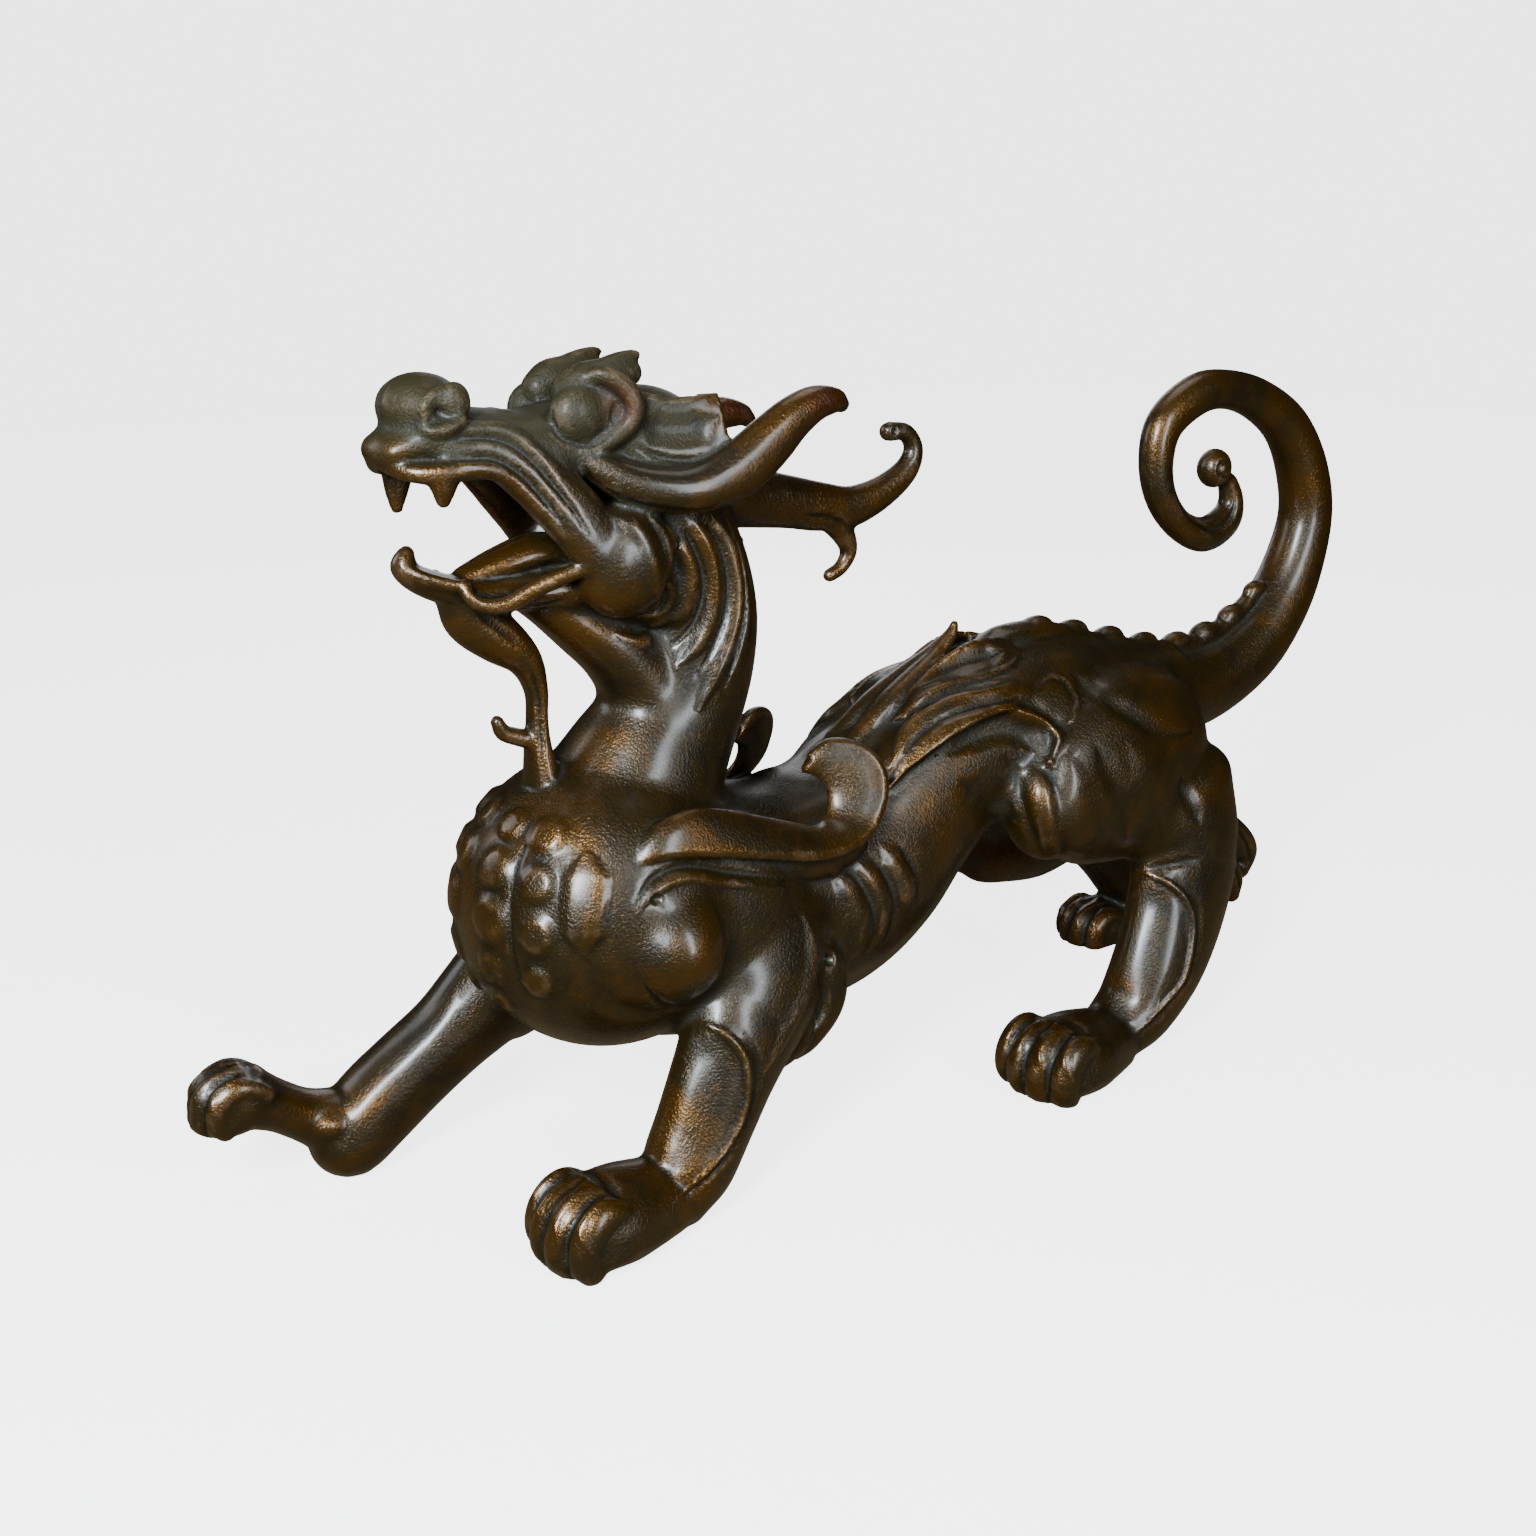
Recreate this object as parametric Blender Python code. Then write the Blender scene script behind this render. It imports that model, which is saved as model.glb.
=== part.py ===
"""Striding pixiu, a hollow cast bronze table ornament, as one closed solid.

The animal faces -Y with its left side towards +X and stands on Z = 0.
Stations are in millimetres, in the sculptor's frame, whose X = 0 is the plane
through the spine.  The finished solid is moved so that its origin is at the
bottom centre of its bounding box.
"""

import math

import bmesh
import bpy
import numpy as np
from mathutils import Matrix, Vector
from mathutils.bvhtree import BVHTree

MM = 0.001

# Driving dimensions, in millimetres.
FLOOR = 0.0               # the soles are cast and ground flat here
BODY_VOXEL = 2.0          # grid that melts the main masses together
FLESH_VOXEL = 1.5         # grid that adds the head, legs and tail
DETAIL_VOXEL = 1.05       # grid that adds the carving
BODY_SMOOTHING = 8        # rounds that turn the seams between masses into fillets
FLESH_SMOOTHING = 3
DETAIL_SMOOTHING = 2
TARGET_TRIANGLES = 9600
TOE = (                   # reach, rise as a share of the paw's height, radius as a share of its width
    (-3.0, 0.46, 0.22), (2.5, 0.58, 0.27), (7.6, 0.34, 0.30), (9.8, -0.04, 0.29), (9.6, -0.42, 0.26),
    (8.8, -0.74, 0.20))

BRONZE = (0.13, 0.075, 0.032, 1.0)
BRONZE_ROUGHNESS = 0.34


# ---------------------------------------------------------------- modelling tools

def flowing(stations, steps):
    """Rows read from a Catmull-Rom curve through the given rows."""
    rows = np.array(stations, dtype=float)
    ends = np.vstack([2 * rows[0] - rows[1], rows, 2 * rows[-1] - rows[-2]])
    out = []
    for i in range(1, len(ends) - 2):
        before, here, there, after = ends[i - 1:i + 3]
        for t in np.linspace(0.0, 1.0, steps, endpoint=False):
            out.append(0.5 * (2 * here + (there - before) * t
                              + (2 * before - 5 * here + 4 * there - after) * t ** 2
                              + (3 * here - before - 3 * there + after) * t ** 3))
    out.append(rows[-1])
    return np.array(out)


def loft(bm, stations, side=(1, 0, 0), sides=18, steps=6, round_ends=True):
    """A closed tube with oval sections through rows of (x, y, z, half width, half depth).

    The half width lies along `side`, the half depth across it.
    """
    rows = flowing(stations, steps)
    rows[:, 3:] = np.maximum(rows[:, 3:], 0.25)
    points = rows[:, :3]
    tangents = np.gradient(points, axis=0)
    tangents /= np.linalg.norm(tangents, axis=1)[:, None]
    if round_ends:
        rows, tangents = with_round_ends(rows, tangents)
    rings = []
    for (x, y, z, width, depth), tangent in zip(rows, tangents):
        across = np.array(side, float) - np.dot(side, tangent) * tangent
        across /= np.linalg.norm(across)
        along_depth = np.cross(tangent, across)
        ring = []
        for k in range(sides):
            angle = 2 * math.pi * k / sides
            offset = across * width * math.cos(angle) + along_depth * depth * math.sin(angle)
            ring.append(bm.verts.new(Vector((x, y, z)) + Vector(offset)))
        rings.append(ring)
    for first, second in zip(rings, rings[1:]):
        for k in range(sides):
            nxt = (k + 1) % sides
            bm.faces.new((first[k], first[nxt], second[nxt], second[k]))
    bm.faces.new(list(reversed(rings[0])))
    bm.faces.new(rings[-1])


def with_round_ends(rows, tangents):
    """Add shrinking sections beyond both ends, so that a tube closes in a dome."""
    domes = []
    for row, tangent, sign in ((rows[0], tangents[0], -1), (rows[-1], tangents[-1], 1)):
        reach = min(row[3], row[4])
        extra = []
        for angle in (30, 60, 82):
            ring = row.copy()
            ring[:3] += sign * tangent * reach * math.sin(math.radians(angle))
            ring[3:] *= math.cos(math.radians(angle))
            extra.append(ring)
        domes.append(np.array(extra))
    head, tail = domes
    rows = np.vstack([head[::-1], rows, tail])
    tangents = np.vstack([[tangents[0]] * 3, tangents, [tangents[-1]] * 3])
    return rows, tangents


def ball(bm, centre, radii, pitch=0.0, detail=3):
    """An ellipsoid; `pitch` turns it about X, in degrees, nose up."""
    place = (Matrix.Translation(centre) @ Matrix.Rotation(math.radians(-pitch), 4, "X")
             @ Matrix.Diagonal((*radii, 1.0)))
    bmesh.ops.create_icosphere(bm, subdivisions=detail, radius=1.0, matrix=place)


def tube(bm, path, radii, side=(1, 0, 0), **options):
    """A round cord through a path, with one radius per point."""
    loft(bm, [(*point, radius, radius) for point, radius in zip(path, radii)], side, **options)


def both_sides(bm, make, *parts, **options):
    """Make a form on the left side and its mirror image on the right side."""
    half = bmesh.new()
    make(half, *parts, **options)
    for mirrored in (False, True):
        mesh = bpy.data.meshes.new("half")
        half.to_mesh(mesh)
        if mirrored:
            mesh.transform(Matrix.Diagonal((-1.0, 1.0, 1.0, 1.0)))
            mesh.flip_normals()
        bm.from_mesh(mesh)
        bpy.data.meshes.remove(mesh)
    half.free()


def melted(bm, voxel, rounds):
    """The union of all closed forms in a bmesh, as one skin softened over `rounds`."""
    mesh = bpy.data.meshes.new("melt")
    bm.to_mesh(mesh)
    obj = bpy.data.objects.new("melt", mesh)
    bpy.context.scene.collection.objects.link(obj)
    remesh = obj.modifiers.new("remesh", "REMESH")
    remesh.mode = "VOXEL"
    remesh.voxel_size = voxel
    smooth = obj.modifiers.new("smooth", "SMOOTH")
    smooth.factor = 0.5
    smooth.iterations = rounds
    result = evaluated(obj)
    bpy.data.objects.remove(obj)
    bpy.data.meshes.remove(mesh)
    bm.free()
    return result


def evaluated(obj):
    """A free mesh holding an object's shape with its modifiers."""
    graph = bpy.context.evaluated_depsgraph_get()
    graph.update()
    return bpy.data.meshes.new_from_object(obj.evaluated_get(graph))


class Skin:
    """The melted body, which carving is laid on."""

    def __init__(self, mesh):
        points = [v.co.copy() for v in mesh.vertices]
        faces = [tuple(p.vertices) for p in mesh.polygons]
        self.tree = BVHTree.FromPolygons(points, faces)

    def lock(self, bm, path, widths, height, sink=0.35, sides=12):
        """A raised lock along a path on the skin: `widths` at its stations, `height` proud."""
        rows = flowing([(*p, w) for p, w in zip(path, widths)], 5)
        spots = []
        for x, y, z, width in rows:
            spot, normal, _, _ = self.tree.find_nearest(Vector((x, y, z)))
            depth = max(min(height, width), 0.3)
            spots.append((spot + normal * depth * (0.5 - sink), normal, max(width, 0.3), depth))
        ribbon(bm, spots, sides)

    def boss(self, bm, near, width, length, height):
        """A low oval pad on the skin, `length` tall and `width` wide, `height` proud."""
        spot, normal, _, _ = self.tree.find_nearest(Vector(near))
        across = normal.cross(Vector((0, 0, 1))).normalized()
        upward = across.cross(normal)
        frame = Matrix((across * width, upward * length, normal * height)).transposed().to_4x4()
        bmesh.ops.create_icosphere(bm, subdivisions=3, radius=1.0, matrix=Matrix.Translation(spot) @ frame)


def ribbon(bm, spots, sides=12):
    """A closed tube through (centre, up, half width, half height) sections."""
    count = len(spots)
    rings = []
    for i, (centre, up, width, height) in enumerate(spots):
        before = spots[max(i - 1, 0)][0]
        after = spots[min(i + 1, count - 1)][0]
        tangent = (after - before).normalized()
        across = up.cross(tangent).normalized()
        rise = tangent.cross(across)
        rings.append([bm.verts.new(centre + across * width * math.cos(2 * math.pi * k / sides)
                                   + rise * height * math.sin(2 * math.pi * k / sides))
                      for k in range(sides)])
    for first, second in zip(rings, rings[1:]):
        for k in range(sides):
            nxt = (k + 1) % sides
            bm.faces.new((first[k], first[nxt], second[nxt], second[k]))
    bm.faces.new(list(reversed(rings[0])))
    bm.faces.new(rings[-1])


# ---------------------------------------------------------------- the animal's masses

def trunk(bm):
    """Chest ball, waist, hips, neck and throat."""
    ball(bm, (0, -40, 78.5), (40, 41, 40.5))
    loft(bm, [(0, -35, 75, 34, 36), (0, -12, 69, 33, 36), (0, 10, 67, 32, 34.5), (0, 28, 69.5, 32, 35),
              (0, 42, 75.5, 31, 32.5), (0, 57, 87, 28.5, 29.5), (0, 76, 99, 27, 26.5),
              (0, 100, 104, 28, 27.5),
              (0, 125, 104, 28, 26), (0, 148, 107, 21, 19), (0, 166, 108, 15, 15)], sides=28)
    loft(bm, [(0, -34, 98, 26, 28), (0, -26, 113, 21, 23), (0, -17.5, 126, 17, 19),
              (0, -12, 140, 16, 18), (0, -10.5, 154, 16, 17), (0, -15.5, 170, 16, 17),
              (0, -25, 186, 15, 16.5)], sides=24)
    loft(bm, [(0, -62, 163, 7, 4), (0, -54, 159, 9, 6), (0, -44, 152, 10.5, 8), (0, -35, 145, 12, 9.5),
              (0, -28, 135, 13, 10.5), (0, -25, 124, 14, 12)])


def skull(bm):
    """Cranium, jowls and the two jaws around the open mouth."""
    ball(bm, (0, -30, 197), (15.5, 21, 15), pitch=-8)
    ball(bm, (0, -28, 163), (14.5, 15, 13))
    loft(bm, [(0, -34, 196, 15, 13), (0, -48, 198, 14.5, 11), (0, -60, 199, 14, 8.5),
              (0, -72, 201, 13, 7.5), (0, -84, 202, 12.5, 7), (0, -94, 199.5, 9.5, 4.5)], sides=20)
    ball(bm, (0, -84.5, 209), (11.5, 10.2, 8))
    loft(bm, [(0, -34, 160, 14, 8), (0, -50, 164, 13, 6), (0, -64, 164, 11, 5),
              (0, -76, 164.5, 8.5, 4), (0, -86, 168, 6, 3.6), (0, -91.5, 172, 4, 2.8),
              (0, -90, 175.5, 2.6, 2.2)], sides=18)
    both_sides(bm, ball, (14, -39.5, 171), (8.8, 13.2, 14.6), pitch=20)
    both_sides(bm, loft, [(10, -82, 199, 3.5, 4.5), (11.5, -72, 198.5, 3.5, 6), (13, -64, 194, 3.5, 7.5),
                          (14.5, -57, 187, 4, 8), (15.5, -51, 180, 4.5, 8), (16, -46, 173, 5, 8)])


def ears(bm):
    """Long ladle-shaped ears: a thick roll that sweeps back and up, around a hollow leaf."""
    both_sides(bm, loft, [(12, -48, 196, 3.5, 3.5), (15.5, -40, 190.5, 5, 5), (18, -31, 188, 6, 5.6),
                          (20, -21, 188, 6.2, 6.2), (21, -10, 192, 6, 7.2), (21.5, -1.5, 198, 5.4, 6.8),
                          (21.8, 5, 203.2, 4.8, 5.8), (21.8, 12, 206.8, 4.2, 4.7),
                          (21.5, 18.5, 207.4, 3.4, 3.4),
                          (21.2, 21, 206.4, 2.4, 2.4)])
    low = [(14, -40, 199), (16, -33, 195), (18, -25, 193.5), (19.5, -17, 196), (20, -12.5, 199.5)]
    high = [(12.5, -39, 212), (14, -32, 209.6), (15, -25, 208.6), (16.2, -18, 208.8), (17, -13.4, 209.2)]
    both_sides(bm, strap, low, high, 3.2)


def horn(bm):
    """One horn behind the head, forked into two curls."""
    loft(bm, [(0, -18, 184, 9, 9), (0, -4, 182.5, 8.5, 8.5), (0, 8, 181, 6.5, 8),
              (0, 20, 179, 5.5, 7.2), (0, 30, 177, 5, 6.8), (0, 40, 176, 4.4, 6),
              (0, 51, 179, 3.8, 4.8), (0, 60, 184.5, 3.3, 3.8), (0, 63, 190.5, 2.8, 2.9),
              (0, 60, 195.4, 2.6, 2.5), (0, 54, 196, 2.8, 2.8)])
    loft(bm, [(0, 33, 174, 3.4, 3.8), (0, 38, 169.5, 3, 3.6), (0, 40.5, 164, 2.4, 2.6),
              (0, 38, 159.5, 2, 2.1), (0, 34, 157.5, 2, 2)])


def beard(bm):
    """The chin beard, which hangs from the jaw and joins the chest."""
    loft(bm, [(0, -78, 163, 7, 5), (0, -75, 158, 6.5, 6.5), (0, -68, 152.5, 6, 6.5), (0, -61, 146, 5, 4.6),
              (0, -58, 138, 4, 3), (0, -58, 130, 4, 2.6), (0, -58, 122, 5, 3.4), (0, -57, 112, 7, 5)])
    loft(bm, [(0, -58, 124, 3, 2.6), (0, -63, 126, 2.4, 2.4), (0, -67.5, 128, 2, 2.2),
              (0, -69, 131, 1.8, 1.8)])


def tail(bm):
    """A thick root that rises and winds inwards to a knob."""
    loft(bm, [(0, 146, 110, 16, 17), (0, 162, 106, 15, 16), (0, 176, 103.5, 14, 14.8),
              (0, 194, 105.5, 13, 13.4),
              (0, 212, 113.5, 12.3, 12.7), (0, 224, 124, 11.4, 11.6), (0, 233, 137.5, 10.2, 10.6),
              (0, 238.4, 157, 9, 9.4), (0, 234.3, 174, 8.4, 8.9), (0, 224, 188.7, 7.4, 8),
              (0, 208.5, 198, 6.6, 7), (0, 193, 202, 6.2, 6.4),
              (0, 179, 201, 6.2, 6.8), (0, 165.3, 192.7, 5.8, 6.6), (0, 162.3, 181, 5.3, 5.9),
              (0, 165.6, 169.5, 5, 5.3), (0, 174.6, 160, 5, 5), (0, 187, 155.5, 5, 6),
              (0, 197, 159.3, 4.8, 6),
              (0, 199.5, 165.5, 4.2, 4.4), (0, 197.2, 172, 3.4, 3.4)], sides=18)
    ball(bm, (0, 190, 177), (5.4, 6.2, 6.6))


def shoulders(bm):
    """Shoulder discs, their bosses and the upper arms."""
    for sign, slip in ((1, 0), (-1, -3)):
        ball(bm, (sign * 22, -20 + slip, 73), (16, 30, 31), pitch=-12)
        ball(bm, (sign * 32.5, -38.5 + slip, 75), (13, 15, 15.5))
    loft(bm, [(24, -4, 72, 12, 24), (29, -9, 58, 12.5, 20), (32, -16, 46, 12, 17)])
    loft(bm, [(-22, -24, 66, 14, 24), (-30, -42, 52, 13.5, 18), (-34, -56, 40, 12.5, 15)])


def haunches(bm):
    """Thighs: the near one gathered up, the far one stretched down and back."""
    loft(bm, [(14, 158, 84, 13, 14), (18, 146, 90, 19, 29), (21, 124, 91, 19, 31), (25, 104, 88, 16, 25),
              (27, 93, 85, 12, 17)], sides=24)
    loft(bm, [(26, 150, 78, 15, 26), (29, 156, 64, 13.5, 20), (31, 155, 52, 12, 17)])
    loft(bm, [(-14, 158, 82, 13, 14), (-18, 146, 79.5, 19, 32), (-21, 127, 71, 18, 34),
              (-24, 113, 65, 14, 27),
              (-26, 105, 63, 10, 18)], sides=24)
    loft(bm, [(-24, 146, 66, 15, 22), (-29, 166, 54, 12.5, 17), (-33, 182, 43, 11, 14)])


def legs(bm):
    """Forearms and shins, down to the paws."""
    loft(bm, [(30, -11, 53, 11, 19), (32.5, -18, 46, 12, 17.5), (34.5, -25, 36, 11.5, 15.5),
              (36, -32, 24, 11.5, 14), (37, -38, 14, 11.5, 13), (37, -42, 8, 11, 10)])
    paw(bm, heel=(37, -45, 9), ball_of_foot=(38, -70, 10.5), splay=6)

    loft(bm, [(-30, -46, 54, 13, 19), (-33, -60, 42, 12.5, 15.5), (-34.5, -72, 32.5, 12, 12.8),
              (-35.5, -84, 24, 12, 12.6), (-35.5, -94, 17, 12, 12.8), (-35, -103, 10, 12, 12)])
    loft(bm, [(-35.5, -101, 12, 11, 11), (-35.5, -109, 16, 9, 9), (-35.5, -116, 20, 7.5, 7.2),
              (-35.5, -123, 25, 8, 7), (-35.5, -130, 29, 10, 8.5)])
    toes(bm, (-35.5, -132.5, 30.5), splay=-4, height=9.5, width=11.5)

    loft(bm, [(30, 155, 60, 12, 22), (32, 151.5, 49, 12, 21), (34, 146, 37, 12, 19.5),
              (35.5, 139, 26, 12, 17.5), (36, 130, 15, 11.5, 14), (36, 121, 9, 11, 10)])
    paw(bm, heel=(36, 118, 8), ball_of_foot=(38, 92.5, 9), splay=6)

    loft(bm, [(-32, 178, 46, 11.5, 14), (-35, 191, 32, 10.5, 12), (-36, 203, 18, 10.5, 12),
              (-36.5, 208, 9, 11, 11)])
    paw(bm, heel=(-36.5, 208, 7), ball_of_foot=(-37, 186.5, 5.5), splay=-6, width=13, height=10.5)


def paw(bm, heel, ball_of_foot, splay, width=16, height=12):
    """Heel pad, instep and four toes, turned outwards by `splay` degrees."""
    hx, hy, hz = heel
    bx, by, bz = ball_of_foot
    mx, my, mz = (hx + bx) / 2, (hy + by) / 2, (hz + bz) / 2
    loft(bm, [(hx, hy + 4, hz - 1, 9, 8), (hx, hy, hz - 1, 10.5, 9), (mx, my, mz - 1, 11.5, 10.5),
              (bx, by, bz, 14, height)])
    toes(bm, ball_of_foot, splay, height, width)


def toes(bm, centre, splay, height, width):
    """Four toes side by side on the ball of the foot, the middle ones longest.

    Each rises over its knuckle and curls down in front to the claw.
    """
    centre = Vector(centre)
    turn = Matrix.Rotation(math.radians(splay), 4, "Z")
    ball(bm, centre, (width * 0.95, 10, height))
    for slot, forward in ((-0.78, -3.6), (-0.27, 0.0), (0.27, 0.0), (0.78, -3.6)):
        rows = []
        for reach, rise, share in TOE:
            spot = centre + turn @ Vector((slot * width, -forward - reach, rise * height))
            rows.append((*spot, share * width * 0.86, share * width))
        loft(bm, rows, sides=12, steps=4)


# ---------------------------------------------------------------- carving

def face_carving(bm):
    """Eyes, brow tufts, nostrils, lips, fangs and tongue."""
    for centre, radii in (((11.8, -49.3, 206.6), (5.6, 7.8, 7.2)), ((11, -42.5, 207), (4.4, 7, 7.4)),
                          ((9.6, -80.2, 210.4), (3.4, 3.9, 4.8)), ((3.2, -65.5, 204.8), (3.2, 4.8, 3.2))):
        both_sides(bm, ball, centre, radii)
    both_sides(bm, loft, [(12, -47.5, 215, 1.2, 1.4), (14.5, -43.5, 215.4, 1.9, 2.2),
                          (16, -38.8, 212.4, 2.3, 2.5),
                          (16.4, -36.6, 208.2, 2.3, 2.5), (15.8, -38.2, 203.6, 2.1, 2.3),
                          (14.8, -43.6, 199.6, 1.7, 2), (13.8, -49, 198, 1.1, 1.3)])
    both_sides(bm, loft, [(8, -49.5, 211, 4.6, 5), (8.6, -46, 213, 5, 5.4), (9.2, -41, 214.3, 4.8, 4.8),
                          (9.5, -36.5, 215, 4, 4.2), (9.5, -34, 215.6, 3, 3.4)])
    both_sides(bm, loft, [(9.4, -42, 217.2, 3, 1.8), (9.5, -37.5, 218.6, 2.6, 1.8),
                          (9.6, -33.5, 219.6, 1.9, 1.4),
                          (9.6, -32, 219.6, 1.2, 1.1)])
    both_sides(bm, loft, [(10.2, -88.6, 204.8, 1.2, 1.2), (11.6, -86.4, 204.2, 1.5, 1.5),
                          (12.4, -83, 204.8, 1.7, 1.7), (12.4, -79.6, 206.6, 1.4, 1.4)])
    both_sides(bm, tube, [(10.5, -83, 202.8), (11.6, -77, 204.2), (12.3, -70, 203.6), (13.4, -64, 199.8),
                          (15, -58.5, 193), (16.6, -53.5, 185), (18, -49, 178)],
               [1.2, 1.8, 2.2, 2.4, 2.4, 2.2, 1.6])
    both_sides(bm, tube, [(2, -96, 197.2), (8, -92.5, 195.4), (11.6, -87, 194.8), (13, -80, 195.6),
                          (13.6, -73, 195),
                          (14.2, -67.5, 191.5), (15.4, -61.5, 185), (16.6, -56, 178.5), (17.8, -50.5, 172.5)],
               [1.8, 2.2, 2.5, 2.6, 2.5, 2.4, 2.3, 2.2, 1.8])
    loft(bm, [(12, -84.6, 195, 2.6, 4.4), (12, -85, 191.4, 2.2, 3.2), (11.8, -85.2, 188.4, 1.5, 1.9)])
    loft(bm, [(-12, -86, 195, 2.6, 4.6), (-12, -86.6, 189, 2.1, 3.2), (-11.8, -87, 184.2, 1.3, 1.6)])
    loft(bm, [(0, -44, 171, 8, 4.5), (0, -56, 173, 7.6, 4.4), (0, -66, 171, 6.8, 3.8),
              (0, -76, 168.4, 4.2, 2.4)])
    both_sides(bm, tube, [(1.5, -92, 172.5), (4.5, -88, 170), (7, -82.5, 168.2), (8, -78.5, 167.4)],
               [1.6, 1.7, 1.6, 1.2])
    both_sides(bm, tube, [(8.4, -79.6, 168.4), (9.6, -79, 165.2), (10.2, -75.4, 162.8), (11.8, -70, 163),
                          (13.6, -63, 166.4), (16, -55, 169.6), (18.2, -49.5, 171.2)],
               [1.2, 1.6, 1.9, 2.1, 2.2, 2.1, 1.6])


def mane(bm, skin):
    """Crescent locks behind each jowl that run down the neck, and the bumps of the nape."""
    width = 3.0
    locks = (
        [(20, -30, 182), (18, -25, 175), (17, -21.5, 167), (15.5, -21.5, 159), (13, -25, 152.5),
         (12, -32, 149.5),
         (12, -40, 152)],
        [(19.5, -24, 183), (17, -17, 174), (16.5, -14, 165), (16, -14.5, 156), (15, -18, 147.5),
         (13, -24, 142)],
        [(18, -16, 183), (16, -8.5, 174), (16, -6.2, 165), (16.5, -6.4, 156), (16, -10, 146),
         (15.5, -15, 137),
         (15, -20, 130)],
    )
    for path in locks:
        for sign in (1, -1):
            mirrored = [(sign * x, y, z) for x, y, z in path]
            skin.lock(bm, mirrored, [width * 0.5] + [width] * (len(path) - 2) + [width * 0.4], height=2.2)
    for y, z in ((4, 170), (6, 162), (7, 154), (7, 146), (5, 138), (2, 130)):
        skin.boss(bm, (0, y, z), 2.8, 3.4, 2.2)


def strap(bm, low_edge, high_edge, thickness, steps=5, sides=10):
    """A curved sheet between two edges, with rounded rims."""
    rows = flowing([(*low, *high) for low, high in zip(low_edge, high_edge)], steps)
    centres = [Vector((row[:3] + row[3:]) / 2) for row in rows]
    spots = []
    for i, row in enumerate(rows):
        tangent = centres[min(i + 1, len(rows) - 1)] - centres[max(i - 1, 0)]
        breadth = Vector(row[3:] - row[:3])
        up = tangent.cross(breadth).normalized()
        spots.append((centres[i], up, breadth.length / 2 + thickness / 2, thickness / 2))
    ribbon(bm, spots, sides)


def wings(bm):
    """Scooped wings that lie along the shoulders and curl up into a cup."""
    low = [(30, -53, 91), (32, -47, 99), (34, -40, 101), (35, -27, 99), (35, -13, 95.5), (34.5, 1, 92),
           (33.5, 13, 90.5), (31.5, 23.5, 92.5), (29.5, 29.5, 98.5), (28, 31.5, 105), (25.5, 30.5, 110.5),
           (22, 26.5, 114), (19, 20.5, 115), (18, 15, 112.5)]
    high = [(29, -48, 97), (30, -43, 104.5), (31, -34, 108), (31, -23, 106), (30, -9, 101), (29, 2, 97),
            (27.5, 9.5, 94.5), (25.5, 15, 95), (24, 18.5, 98.5), (22.5, 19.5, 103), (21, 18.5, 106.5),
            (19, 16, 108.5), (18, 14, 109.5), (17.5, 13, 109.5)]
    both_sides(bm, strap, low, high, 4.6)
    both_sides(bm, tube, low, [1.6] + [2.2] * (len(low) - 2) + [1.4])
    both_sides(bm, tube, high, [1.4] + [1.9] * (len(high) - 2) + [1.2])
    both_sides(bm, loft, [(26, -44, 93, 6, 6), (27, -30, 97, 6, 7), (27, -15, 94, 6, 7), (26, 0, 89, 7, 7),
                          (25, 12, 87, 7, 7), (24, 22, 89, 6, 7)])


def tufts(bm):
    """Locks of hair at the elbows and the hocks."""
    elbow = ([(31, 4, 64, 5, 5), (32, 9, 56, 5, 7), (32, 9.5, 46, 4.5, 6.5), (32, 4, 37, 3.5, 4),
              (32, 0, 33, 1.5, 2)],
             [(33, -1, 49, 4, 5), (33, 1, 42, 4, 5), (33, -2, 36.5, 3, 4), (33, -6, 33, 2, 2.5)])
    hock = ([(27, 166, 66, 7, 7), (26, 179, 60, 5.5, 7), (25.5, 189, 53, 4.5, 5), (25.5, 188, 46, 3.5, 3.5)],
            [(27, 172, 54, 6, 7), (27, 181, 45, 4.5, 5), (27, 183, 38.5, 3, 3)],
            [(29, 166, 46, 5, 6), (30, 170, 38, 4, 5), (31, 167, 30, 2, 2.5)])
    for lock in elbow + hock:
        loft(bm, lock)
    for lock in elbow:
        loft(bm, [(-x + 1, y - 22, z + 7, w, d) for x, y, z, w, d in lock])
    for lock in hock:
        loft(bm, [(-x - 6, y + 26, z - 14, w, d) for x, y, z, w, d in lock])


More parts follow.
